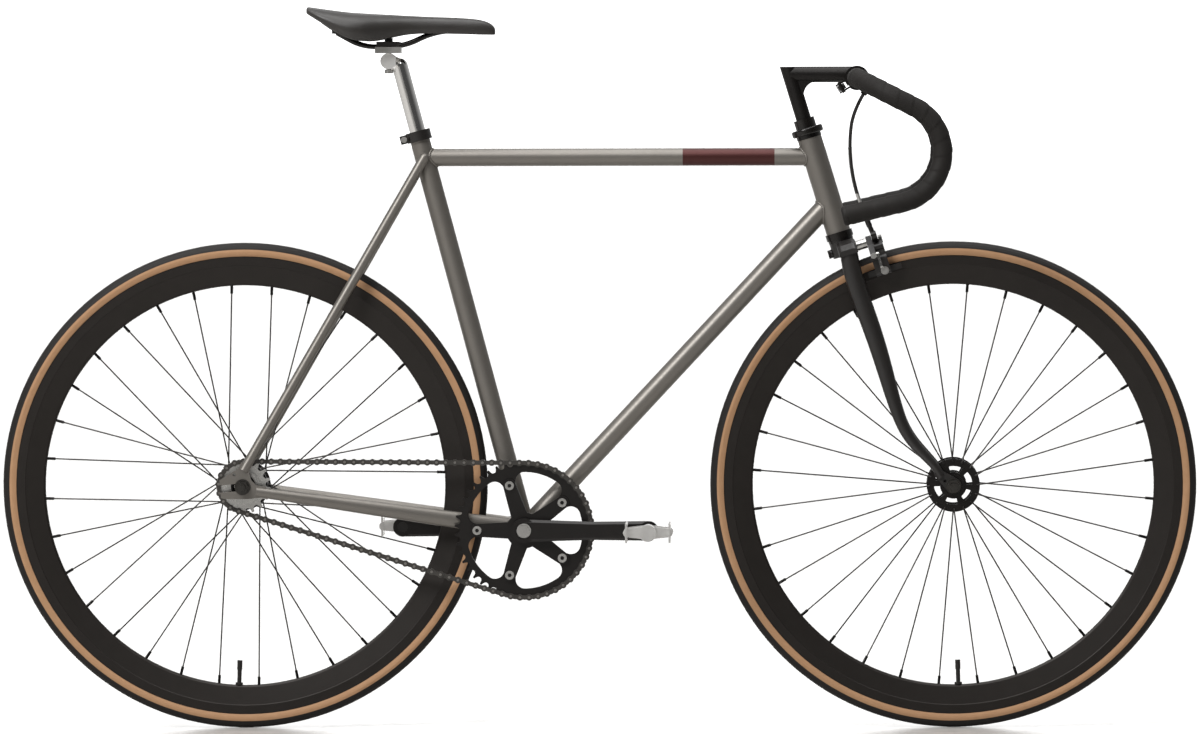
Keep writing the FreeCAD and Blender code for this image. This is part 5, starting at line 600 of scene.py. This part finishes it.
def new_piece(name: str, mesh: bpy.types.Mesh, material: Material, body: str) -> bpy.types.Object:
    """Put a smoothly shaded mesh in the scene and let it ride on a body.

    Args:
        name: Name of the piece.
        mesh: Its mesh.
        material: Its finish.
        body: Body that carries it.
    Returns:
        The new object.
    """
    piece = put(name, mesh)
    mesh.materials.append(material)
    mesh.polygons.foreach_set("use_smooth", [True] * len(mesh.polygons))
    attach(piece, body)
    LOG.info("%s rides on %s", name, body)
    return piece


def rings_to_mesh(name: str, runs: Sequence[Sequence[Sequence[Vector]]],
                  looped: bool = False) -> bpy.types.Mesh:
    """Skin over rows of closed rings.

    Args:
        name: Name of the mesh.
        runs: Separate rows of rings, all rings of a row with the same number of points.
        looped: Whether the last ring joins the first; otherwise both are closed by a face.
    Returns:
        The mesh.
    """
    points: list[Vector] = []
    faces: list[list[int]] = []
    for rings in runs:
        base = len(points)
        count = len(rings[0])
        for ring in rings:
            points.extend(ring)
        last = len(rings) - 1
        pairs = [(row, row + 1) for row in range(last)]
        if looped:
            pairs.append((last, 0))
        for row, after in pairs:
            for index in range(count):
                follow = (index + 1) % count
                faces.append([base + row * count + index, base + row * count + follow,
                              base + after * count + follow, base + after * count + index])
        if not looped:
            faces.append([base + index for index in reversed(range(count))])
            faces.append([base + last * count + index for index in range(count)])
    mesh = bpy.data.meshes.new(name)
    mesh.from_pydata([tuple(point) for point in points], [], faces)
    shape = bmesh.new()
    shape.from_mesh(mesh)
    bmesh.ops.recalc_face_normals(shape, faces=shape.faces)
    shape.to_mesh(mesh)
    shape.free()
    return mesh


def curve_through(values: Sequence[Sequence[float]], place: float) -> list[float]:
    """Smooth value between rows of a table, by the row's first entry.

    Args:
        values: Rows in rising order of their first entry.
        place: First entry to look up.
    Returns:
        The other entries there.
    """
    index = 0
    while index < len(values) - 2 and place > values[index + 1][0]:
        index += 1
    first, second = values[index], values[index + 1]
    before = values[max(index - 1, 0)]
    after = values[min(index + 2, len(values) - 1)]
    width = second[0] - first[0]
    share = (place - first[0]) / width
    result = []
    for column in range(1, len(first)):
        start_slope = (second[column] - before[column]) / (second[0] - before[0]) * width
        end_slope = (after[column] - first[column]) / (after[0] - first[0]) * width
        cube, square = share ** 3, share ** 2
        result.append((2 * cube - 3 * square + 1) * first[column] + (cube - 2 * square + share) * start_slope
                      + (3 * square - 2 * cube) * second[column] + (cube - square) * end_slope)
    return result


@dataclass(frozen=True)
class Softbox:
    """One soft studio light: where it stands and points, its width and height in metres, and its watts."""

    name: str
    place: tuple[float, float, float]
    target: tuple[float, float, float]
    size: tuple[float, float]
    power: float

    def build(self) -> None:
        """Hang the light."""
        data = bpy.data.lights.new(self.name, "AREA")
        data.shape = "RECTANGLE"
        data.size, data.size_y = self.size
        data.energy = self.power
        lamp = put(self.name, data)
        lamp.location = self.place
        lamp.rotation_euler = (Vector(self.target) - Vector(self.place)).to_track_quat("-Z", "Y").to_euler()


@dataclass
class Studio:
    """Pale floor, soft lights and the camera of the side view."""

    # Angles are in degrees, the sensor in millimetres, and all other lengths in metres
    camera_place: Vector = field(default_factory=lambda: Vector((0.3547, -13.8, 0.8947)))
    aim: Vector = field(default_factory=lambda: Vector((0.0018, 0.0, 0.4990)))
    roll: float = 0.14
    field_width: float = 1.6608
    sensor: float = 36.0
    reach: float = 400.0
    floor_size: float = 240.0
    softboxes: tuple[Softbox, ...] = (
        Softbox("softbox_top", (-0.8, -2.0, 3.4), (0.0, 0.0, 0.5), (3.0, 1.0), 45.0),
        Softbox("softbox_key", (-4.0, -5.0, 5.0), (0.0, 0.0, 0.5), (2.5, 2.5), 460.0),
    )
    scrim_power: float = 2.6
    scrim_angle: float = 60.0
    room_depth: tuple[float, float] = (-0.6, 0.9)
    room_glow: tuple[float, float] = (0.07, 0.55)
    backdrop_depth: tuple[float, float] = (0.93, 0.98)
    backdrop_glow: float = 1.2

    def set_camera(self) -> None:
        """Stand the camera where the photograph was taken from."""
        data = bpy.data.cameras.new("side_camera")
        span = self.aim - self.camera_place
        data.sensor_width = self.sensor
        data.lens = self.sensor * span.length / self.field_width
        data.clip_end = self.reach
        camera = put("side_camera", data)
        camera.location = self.camera_place
        level = span.to_track_quat("-Z", "Y").to_matrix().to_4x4()
        camera.rotation_euler = (level @ Matrix.Rotation(math.radians(-self.roll), 4, "Z")).to_euler()
        bpy.context.scene.camera = camera

    def lay_floor(self) -> None:
        """Lay the plain floor, which is no part of the object."""
        half = self.floor_size / 2.0
        corners = [(-half, -half, 0.0), (half, -half, 0.0), (half, half, 0.0), (-half, half, 0.0)]
        mesh = bpy.data.meshes.new("floor")
        mesh.from_pydata(corners, [], [(0, 1, 2, 3)])
        mesh.materials.append(PaleFloor().build())
        floor = put("floor", mesh)

    def hang_scrim(self) -> None:
        """Hang the wide soft light overhead."""
        scrim = bpy.data.lights.new("overhead_scrim", "SUN")
        scrim.energy = self.scrim_power
        scrim.angle = math.radians(self.scrim_angle)
        put("overhead_scrim", scrim)

    def fill_air(self) -> None:
        """Light the room softly from its far end, with a bright backdrop right behind the object."""
        world = bpy.data.worlds.new("studio_air")
        world.use_nodes = True
        tree = world.node_tree
        air = tree.nodes["Background"]
        air.inputs["Color"].default_value = linear("ffffff")
        way = add(tree, "ShaderNodeTexCoord").outputs["Generated"]
        depth = add(tree, "ShaderNodeSeparateXYZ", {0: way}).outputs["Y"]
        room = add(tree, "ShaderNodeMapRange", {"Value": depth, "From Min": self.room_depth[0],
                                                "From Max": self.room_depth[1], "To Min": self.room_glow[0],
                                                "To Max": self.room_glow[1]})
        backdrop = add(tree, "ShaderNodeMapRange", {"Value": depth, "From Min": self.backdrop_depth[0],
                                                    "From Max": self.backdrop_depth[1],
                                                    "To Max": self.backdrop_glow})
        glow = add(tree, "ShaderNodeMath", {0: room.outputs[0], 1: backdrop.outputs[0]}, operation="ADD")
        tree.links.new(glow.outputs[0], air.inputs["Strength"])
        bpy.context.scene.world = world
        bpy.context.scene.view_settings.view_transform = "Standard"

    def build(self) -> None:
        """Make the camera, the floor and the lights."""
        self.set_camera()
        self.lay_floor()
        for softbox in self.softboxes:
            softbox.build()
        self.hang_scrim()
        self.fill_air()


@dataclass
class WeldBead:
    """Where one tube meets another: the meeting tube's axis and half axes, and the tube that it meets."""

    start: Vector
    way: Vector
    first: Vector
    second: Vector
    meets: Vector
    meets_way: Vector
    meets_radius: float

    def line(self, count: int) -> list[Vector]:
        """Closed line along which the two skins meet.

        Args:
            count: Number of points.
        Returns:
            The points of the line.
        """
        points = []
        for index in range(count):
            turn = FULL_TURN * index / count
            edge = self.start + self.first * math.cos(turn) + self.second * math.sin(turn)
            arm = edge - self.meets
            flat_arm = arm - self.meets_way * arm.dot(self.meets_way)
            flat_way = self.way - self.meets_way * self.way.dot(self.meets_way)
            a = flat_way.dot(flat_way)
            b = 2.0 * flat_arm.dot(flat_way)
            c = flat_arm.dot(flat_arm) - self.meets_radius ** 2
            root = math.sqrt(max(b * b - 4.0 * a * c, 0.0))
            points.append(edge + self.way * ((-b - root) / (2.0 * a)))
        return points


@dataclass
class FrameSet:
    """Painted frame with its welds, collar and small fittings."""

    band: tuple[float, float] = (0.1170, 0.2440)
    bead_radius: float = 0.0017
    ripple: float = 0.12
    ripple_pitch: float = 0.0026
    bead_points: int = 180
    bead_sides: int = 8
    # The collar's bolt shows beyond these distances from the seat tube's axis: to each side, and behind
    bolt_reach: float = 0.00805
    bolt_back: float = 0.0150
    head_radius: float = 0.0168
    seat_radius: float = 0.0137
    shell_radius: float = 0.0200
    top_radius: float = 0.0120
    down_radius: float = 0.0135
    # Heights of the top tube's axis and of the seat tube's end, and the down tube's end up the steering axis
    top_height: float = 0.789307
    seat_height: float = 0.823114
    down_rise: float = 0.423

    def joints(self) -> list[WeldBead]:
        """Every place where a main tube ends on another.

        Returns:
            One weld for each such place.
        """
        top_front = at_height(STEER_FOOT, STEER_UP, self.top_height)
        top_rear = at_height(BRACKET, SEAT_UP, self.top_height)
        seat_top = at_height(BRACKET, SEAT_UP, self.seat_height)
        down_front = STEER_FOOT + STEER_UP * self.down_rise
        climb = (down_front - BRACKET).normalized()
        top = (ACROSS * self.top_radius, UP * self.top_radius)
        down = (ACROSS * self.down_radius, climb.cross(ACROSS).normalized() * self.down_radius)
        seat = (ACROSS * self.seat_radius, SEAT_BACK * self.seat_radius)
        return [
            WeldBead(top_rear, AHEAD, *top, STEER_FOOT, STEER_UP, self.head_radius),
            WeldBead(top_front, -AHEAD, *top, BRACKET, SEAT_UP, self.seat_radius),
            WeldBead(BRACKET, climb, *down, STEER_FOOT, STEER_UP, self.head_radius),
            WeldBead(down_front, -climb, *down, BRACKET, ACROSS, self.shell_radius),
            WeldBead(seat_top, -SEAT_UP, *seat, BRACKET, ACROSS, self.shell_radius),
        ]

    def weld_rings(self, bead: WeldBead) -> list[list[Vector]]:
        """Rippled rings along one weld.

        Args:
            bead: Where the weld runs.
        Returns:
            Closed rings of points.
        """
        # Any direction that no weld runs along
        leaning = Vector((0.3, 0.8, 0.5))
        line = bead.line(self.bead_points)
        rings = []
        travel = 0.0
        for index, point in enumerate(line):
            ahead = line[(index + 1) % self.bead_points] - line[index - 1]
            travel += ahead.length / 2.0
            tangent = ahead.normalized()
            first = (leaning - tangent * tangent.dot(leaning)).normalized()
            second = tangent.cross(first)
            swell = self.bead_radius * (1.0 + self.ripple * math.sin(FULL_TURN * travel / self.ripple_pitch))
            ring = []
            for step in range(self.bead_sides):
                turn = FULL_TURN * step / self.bead_sides
                ring.append(point + (first * math.cos(turn) + second * math.sin(turn)) * swell)
            rings.append(ring)
        return rings

    def build(self) -> None:
        """Paint the tubes, lay the welds and dress the fittings."""
        paint = SatinMetallicPaint().build()
        banded = SatinMetallicPaint(name="satin_metallic_paint_with_band", band=self.band).build()
        dress(paint, ("head_tube", "down_tube", "seat_tube", "bottom_bracket_shell", "chainstays",
                      "seatstays", "rear_dropouts"))
        dress(banded, ("top_tube",))
        mesh = rings_to_mesh("frame_welds", [self.weld_rings(bead) for bead in self.joints()], looped=True)
        welds = new_piece("frame_welds", mesh, paint, "frame")
        black = BlackCoat("black_oxide_steel", rough=(0.16, 0.24), metallic=0.4).build()
        dress(black, ("headset_cups", "bottom_bracket_cups"))
        dress(BareMetal("ground_bearing_steel").build(), ("bearing_balls",))
        bolt_ends = Slab(BRACKET, ACROSS, self.bolt_reach, mirrored=True)
        behind = Slab(BRACKET, SEAT_BACK, self.bolt_back)
        collar = MaskedMetal("black_collar_with_plated_bolt", (bolt_ends, behind))
        dress(collar.build(), ("seat_clamp",))
        nuts = BareMetal("dark_phosphated_steel", tones=("5a5855", "454340"), rough=(0.25, 0.4))
        dress(nuts.build(), ("rear_axle", "front_axle"))


@dataclass
class Seat:
    """Saddle, its rails and the post."""

    # Along the saddle, in millimetres from the clamp: place, half width, top and lower edge
    stations: tuple[tuple[float, float, float, float], ...] = (
        (-113.0, 44.0, 55.5, 46.5), (-108.0, 52.0, 55.0, 43.5), (-91.0, 63.0, 52.5, 33.0),
        (-56.0, 70.0, 48.0, 12.5), (-34.0, 66.0, 46.5, 7.6), (-9.0, 51.0, 45.0, 9.8),
        (24.0, 33.0, 43.0, 16.4), (59.0, 24.0, 41.3, 18.0), (96.0, 19.0, 39.8, 17.3),
        (126.0, 15.5, 37.0, 16.2), (142.0, 11.5, 31.5, 16.0), (148.0, 8.5, 25.0, 16.0),
    )
    rings: int = 72
    smooth_levels: int = 1
    # Back edge of the post's blasted head, and parting line of the clamp, in metres from the rails
    head_ahead: float = -0.0105
    clamp_parting: float = -0.0002
    # Thickness of the cover in millimetres, and its limits as shares of the section
    wall: float = 5.5
    wall_of_half: float = 0.3
    wall_of_height: float = 0.42
    under_drop: float = 0.2
    # Half of the section: share of the half width, and share of the height
    profile: tuple[tuple[float, float], ...] = (
        (0.0, 1.0), (0.22, 0.992), (0.44, 0.965), (0.64, 0.915), (0.80, 0.83), (0.92, 0.69), (0.985, 0.50),
        (1.0, 0.32), (0.975, 0.14), (0.935, 0.03), (0.90, 0.0),
    )

    def ring(self, place: float) -> list[Vector]:
        """Closed section of the cover at a distance ahead of the clamp.

        Args:
            place: Distance ahead of the clamp in millimetres.
        Returns:
            Points round the section, over the top and back along the hollow underside.
        """
        half, top, low = curve_through(self.stations, place)
        height = top - low
        outer = [(share * half, low + rise * height) for share, rise in self.profile]
        wall = min(self.wall, self.wall_of_half * half, self.wall_of_height * height)
        inner = []
        for share, rise in reversed(self.profile[:-1]):
            inner.append((share * (half - wall), low + rise * (height - wall) - self.under_drop))
        left = [Vector((place, side, rise)) for side, rise in outer]
        right = [Vector((place, -side, rise)) for side, rise in reversed(outer)]
        under_left = [Vector((place, side, rise)) for side, rise in inner]
        under_right = [Vector((place, -side, rise)) for side, rise in reversed(inner)]
        loop = right[:-1] + left + under_left[:-1] + under_right
        return [RAIL_CENTRE + point * MM for point in loop]

    def cover(self) -> None:
        """Make the padded cover."""
        first, last = self.stations[0][0], self.stations[-1][0]
        places = [first + (last - first) * index / (self.rings - 1) for index in range(self.rings)]
        mesh = rings_to_mesh("saddle_padding", [[self.ring(place) for place in places]])
        leather = GrainedCover("stretched_synthetic_leather", tones=("2b2826", "211f1d"), rough=(0.36, 0.50))
        piece = new_piece("saddle_padding", mesh, leather.build(), "saddle")
        smooth = piece.modifiers.new("smooth", "SUBSURF")
        smooth.levels = smooth.render_levels = self.smooth_levels
        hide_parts("saddle_cover")

    def build(self) -> None:
        """Make the cover and dress the rails, base, clamp and post."""
        self.cover()
        shell = BlackCoat("moulded_nylon", rough=(0.45, 0.6), grain_mm=0.8, bump_mm=0.02)
        dress(shell.build(), ("saddle_base",))
        rails = BlackCoat("black_oxide_rail", metallic=0.5, rough=(0.22, 0.32))
        dress(rails.build(), ("saddle_rails",))
        clamp = MaskedMetal("forged_clamp", (Slab(RAIL_CENTRE, -UP, self.clamp_parting),))
        dress(clamp.build(), ("saddle_clamp",))
        head = Slab(RAIL_CENTRE, -AHEAD, self.head_ahead)
        post = BareMetal("polished_aluminium_post", tones=("ecebe9", "dfdedc"), rough=(0.07, 0.13),
                         satin=head)
        dress(post.build(), ("seatpost",))


@dataclass
class Steering:
    """Fork, headset, stem and the wound drop bar."""

    bar_radius: float = 0.0119
    tape_radius: float = 0.0137
    tape_start: float = 0.062
    half_width: float = 0.200
    top_bend: float = 0.070
    ramp_angle: float = 27.0
    ramp_length: float = 0.088
    hook_radius: float = 0.0695
    tail_angle: float = 13.0
    tail_length: float = 0.078
    # Each turn of tape climbs over the last by a share of its thickness, and drops at its edge
    wrap_pitch: float = 0.021
    lap_share: float = 0.38
    lap_full: float = 0.82
    lap_edge: float = 0.86
    lap_power: float = 0.8
    ring_step: float = 0.0013
    sides: int = 30

    def way(self, angle: float) -> Vector:
        """Direction in the wheel plane at an angle above straight ahead."""
        return Vector((math.cos(math.radians(angle)), 0.0, math.sin(math.radians(angle))))

    def bar_line(self, side: Side) -> list[tuple[Vector, Vector]]:
        """Points and directions along the taped part of the bar.

        Args:
            side: Right or left.
        Returns:
            Pairs of a point and the bar's direction there.
        """
        across = Vector((0.0, float(side.value), 0.0))
        ramp = self.way(-self.ramp_angle)
        edge = BAR_CENTRE + across * self.half_width
        bend_centre = edge - across * self.top_bend + ramp * self.top_bend
        hook_start = edge + ramp * self.ramp_length
        hook_centre = hook_start + self.way(-self.ramp_angle - 90.0) * self.hook_radius
        hook_end = hook_centre + self.way(270.0 + self.tail_angle) * self.hook_radius
        tail = self.way(180.0 + self.tail_angle)
        straight = self.half_width - self.top_bend - self.tape_start
        bend = self.top_bend * math.pi / 2.0
        slope = self.ramp_length - self.top_bend
        hook = self.hook_radius * math.radians(180.0 - self.ramp_angle - self.tail_angle)
        total = straight + bend + slope + hook + self.tail_length
        count = int(total / self.ring_step)
        line = []
        for index in range(count + 1):
            left = total * index / count
            if left <= straight:
                line.append((BAR_CENTRE + across * (self.tape_start + left), across))
                continue
            left -= straight
            if left <= bend:
                turn = left / self.top_bend
                out = across * math.sin(turn) - ramp * math.cos(turn)
                ahead = across * math.cos(turn) + ramp * math.sin(turn)
                line.append((bend_centre + out * self.top_bend, ahead))
                continue
            left -= bend
            if left <= slope:
                line.append((edge + ramp * (self.top_bend + left), ramp))
                continue
            left -= slope
            if left <= hook:
                angle = 90.0 - self.ramp_angle - math.degrees(left / self.hook_radius)
                line.append((hook_centre + self.way(angle) * self.hook_radius, self.way(angle - 90.0)))
                continue
            left -= hook
            line.append((hook_end + tail * left, tail))
        return line

    def tape_rings(self, side: Side) -> list[list[Vector]]:
        """Rings of wound tape, each turn lapped over the last.

        Args:
            side: Right or left.
        Returns:
            Closed rings of points.
        """
        line = self.bar_line(side)
        guide = self.way(90.0 - self.ramp_angle)
        thick = self.tape_radius - self.bar_radius
        rings = []
        travel = 0.0
        for index, (point, ahead) in enumerate(line):
            if index:
                travel += (point - line[index - 1][0]).length
            first = (guide - ahead * ahead.dot(guide)).normalized()
            guide = first
            second = ahead.cross(first)
            ring = []
            for step in range(self.sides):
                turn = FULL_TURN * step / self.sides
                lap = (travel / self.wrap_pitch - step / self.sides) % 1.0
                climb = min(lap / self.lap_full, 1.0)
                rise = climb if lap < self.lap_edge else (1.0 - lap) / (1.0 - self.lap_edge)
                swell = self.bar_radius + thick * (1.0 - self.lap_share * (1.0 - rise ** self.lap_power))
                ring.append(point + (first * math.cos(turn) + second * math.sin(turn)) * swell)
            rings.append(ring)
        return rings

    def build(self) -> None:
        """Wind the tape and dress the fork, headset, stem and bar."""
        mesh = rings_to_mesh("wound_bar_tape", [self.tape_rings(side) for side in Side])
        cork = GrainedCover("wound_cork_tape", tones=("1c1917", "151311"), pebble_mm=0.9, rough=(0.62, 0.78),
                            depth_mm=0.12, specular=0.25)
        tape = new_piece("wound_bar_tape", mesh, cork.build(), "fork")
        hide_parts("bar_tape")
        enamel = BlackCoat("black_fork_enamel", rough=(0.34, 0.44), coat=0.15)
        dress(enamel.build(), ("fork_crown", "fork_blades", "steerer_tube"))
        races = BlackCoat("black_turned_races", metallic=0.3, rough=(0.14, 0.22))
        dress(races.build(), ("headset_races",))
        alloy = BlackCoat("black_anodised_stem", metallic=0.6, rough=(0.36, 0.46), grain_mm=0.7)
        dress(alloy.build(), ("stem", "handlebar"))
        plug = GrainedCover("moulded_end_plug", tones=("1c1917", "151311"), rough=(0.6, 0.75), specular=0.25)
        dress(plug.build(), ("bar_end_plugs",))
        dress(BareMetal("plated_stem_bolt").build(), ("stem_fasteners", "front_hub_balls"))


@dataclass
class FrontBrake:
    """Lever, cable and calliper."""

    # The housing's way from the lever down to the adjuster on the calliper's front arm
    route: tuple[tuple[float, float, float], ...] = (
        (0.3666, -0.0490, 0.8754), (0.3525, -0.0480, 0.8510), (0.3474, -0.0450, 0.8120),
        (0.3500, -0.0410, 0.7700), (0.3595, -0.0365, 0.7310), (0.3716, -0.0330, 0.7020),
    )
    diameter: float = 0.005
    sleeve_end: float = 0.7385
    socket_depth: float = 0.010
    length: float = 0.181
    line_order: int = 3
    line_steps: int = 24
    round_steps: int = 6
    # Beyond these distances from the middle plane, the arm's anchor and the shoes' nuts are plated
    anchor_face: float = 0.0415
    shoe_face: float = 0.0203

    def cable_line(self) -> bpy.types.Curve:
        """Smooth line of the cable along its route.

        Returns:
            The curve, without thickness.
        """
        curve = bpy.data.curves.new("brake_cable_line", "CURVE")
        curve.dimensions = "3D"
        spline = curve.splines.new("NURBS")
        spline.points.add(len(self.route) - 1)
        for point, place in zip(spline.points, self.route):
            point.co = (*place, 1.0)
        spline.order_u = self.line_order
        spline.use_endpoint_u = True
        spline.resolution_u = self.line_steps
        return curve

    def cable(self) -> None:
        """Lay the housing from the lever to the calliper."""
        curve = self.cable_line()
        line = bpy.data.objects.new("brake_cable_line", curve)
        path = [vertex.co.copy() for vertex in bpy.data.meshes.new_from_object(line).vertices]
        curve.bevel_depth = self.diameter / 2.0
        curve.bevel_resolution = self.round_steps
        curve.use_fill_caps = True
        mesh = bpy.data.meshes.new_from_object(line)
        adjuster = Slab(Vector((0.0, 0.0, self.sleeve_end)), -UP, 0.0)
        sleeve = MaskedMetal("extruded_sleeve_and_plated_adjuster", (adjuster,))
        mesh.materials.append(sleeve.build())
        piece = put("brake_housing", mesh)
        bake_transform(piece)
        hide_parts("brake_cable")
        LOG.info("brake_housing bends between fork and left_arm")

    def build(self) -> None:
        """Lay the cable and dress the lever and the calliper."""
        self.cable()
        black = BlackCoat("black_forged_alloy", metallic=0.35, rough=(0.26, 0.36), grain_mm=0.9)
        dress(black.build(), ("brake_lever", "brake_lever_bracket", "left_caliper_arm"))
        anchor = MaskedMetal("black_arm_with_plated_anchor", (Slab(Vector(), -ACROSS, self.anchor_face),))
        dress(anchor.build(), ("right_caliper_arm",))
        nut_ends = Slab(Vector(), ACROSS, self.shoe_face, mirrored=True)
        shoe = MaskedMetal("moulded_shoe_with_plated_bolt", (nut_ends,))
        dress(shoe.build(), ("right_brake_shoe", "left_brake_shoe"))
        front_half = Slab(STEER_FOOT, STEER_AHEAD, 0.0)
        bolts = MaskedMetal("plated_bolts_with_black_nut", (front_half,), rough=(0.18, 0.3))
        dress(bolts.build(), ("brake_hardware", "brake_release"))


@dataclass
class Wheel:
    """One wheel: rim, tyre, tube with its valve, spokes and hub."""

    end: End
    axle: Vector

    def build(self) -> None:
        """Dress the wheel's solids."""
        name = self.end.value
        rim = BlackCoat(f"{name}_black_anodised_rim", tones=("25211e", "1e1a17"), metallic=0.55,
                        rough=(0.42, 0.52), grain_mm=0.8)
        dress(rim.build(), (f"{name}_rim",))
        dress(TyreRubber(f"{name}_tyre_rubber", self.axle).build(), (f"{name}_tyre",))
        dress(SpokeWire(f"{name}_spoke_wire", self.axle).build(), (f"{name}_spokes",))
        valve = BlackCoat(f"{name}_butyl_and_valve", tones=("24211e", "1c1a18"), metallic=0.3,
                          rough=(0.35, 0.5))
        dress(valve.build(), (f"{name}_inner_tube",))
        hub = BlackCoat(f"{name}_black_anodised_hub", metallic=0.4, rough=(0.24, 0.34), grain_mm=0.6)
        dress(hub.build(), (f"{name}_hub_shell",))


@dataclass
class Drive:
    """Chain, sprockets, cranks and pedals."""

    # Beyond these distances from the chain's plane or the middle plane, pins and bolts are bright; nearer the
    # middle plane the bolts' sockets and grooves get painted shade
    chain_line: float = -0.0440
    plate_reach: float = 0.00425
    pedal_face: float = 0.0780
    bolt_face: float = 0.0515

    def build(self) -> None:
        """Dress the drive's solids."""
        pin_ends = Slab(Vector((0.0, self.chain_line, 0.0)), ACROSS, self.plate_reach, mirrored=True)
        chain = MaskedMetal("oiled_chain_steel", (pin_ends,), dark=("3b3835", "2b2926"),
                            bright=("9b9894", "85827e"))
        dress(chain.build(), ("chain_outer_links", "chain_inner_links"))
        black = BlackCoat("black_anodised_crank", metallic=0.35, rough=(0.3, 0.4), grain_mm=0.8)
        dress(black.build(), ("right_crank", "left_crank", "chainring"))
        plated = BareMetal("plated_sprocket_steel", tones=("d9d8d5", "c6c5c2"), rough=(0.24, 0.36))
        dress(plated.build(), ("rear_sprocket", "sprocket_lockring", "crank_spindle"))
        outer_part = Slab(Vector(), ACROSS, self.pedal_face, mirrored=True)
        dress(MaskedMetal("plated_axle_with_black_end", (outer_part,)).build(), ("pedal_axles",))
        # Bolt heads are bright beyond their face; the recessed sockets and grooves inside it are painted dark
        # as painted shade
        heads = Slab(Vector(), ACROSS, self.bolt_face, mirrored=True)
        bolts = MaskedMetal("bright_bolts_with_painted_shade_in_sockets", (heads,), bright=("dad9d6", "c4c3c0"),
                            rough=(0.16, 0.24))
        dress(bolts.build(), ("crank_fasteners",))
        cage = BareMetal("tumbled_pedal_alloy", tones=("f3f2f0", "e4e3e1"), rough=(0.28, 0.40))
        dress(cage.build(), ("right_pedal", "left_pedal"))


def main() -> None:
    """Build and dress every sub-assembly."""
    logging.basicConfig(level=logging.INFO, format="%(name)s: %(message)s")
    for part in (Studio(), FrontBrake(), FrameSet(), Seat(), Steering(), Wheel(End.FRONT, FRONT_AXLE),
                 Wheel(End.REAR, REAR_AXLE), Drive()):
        part.build()
        LOG.info("%s is dressed", type(part).__name__)


if __name__ == "__main__":
    main()
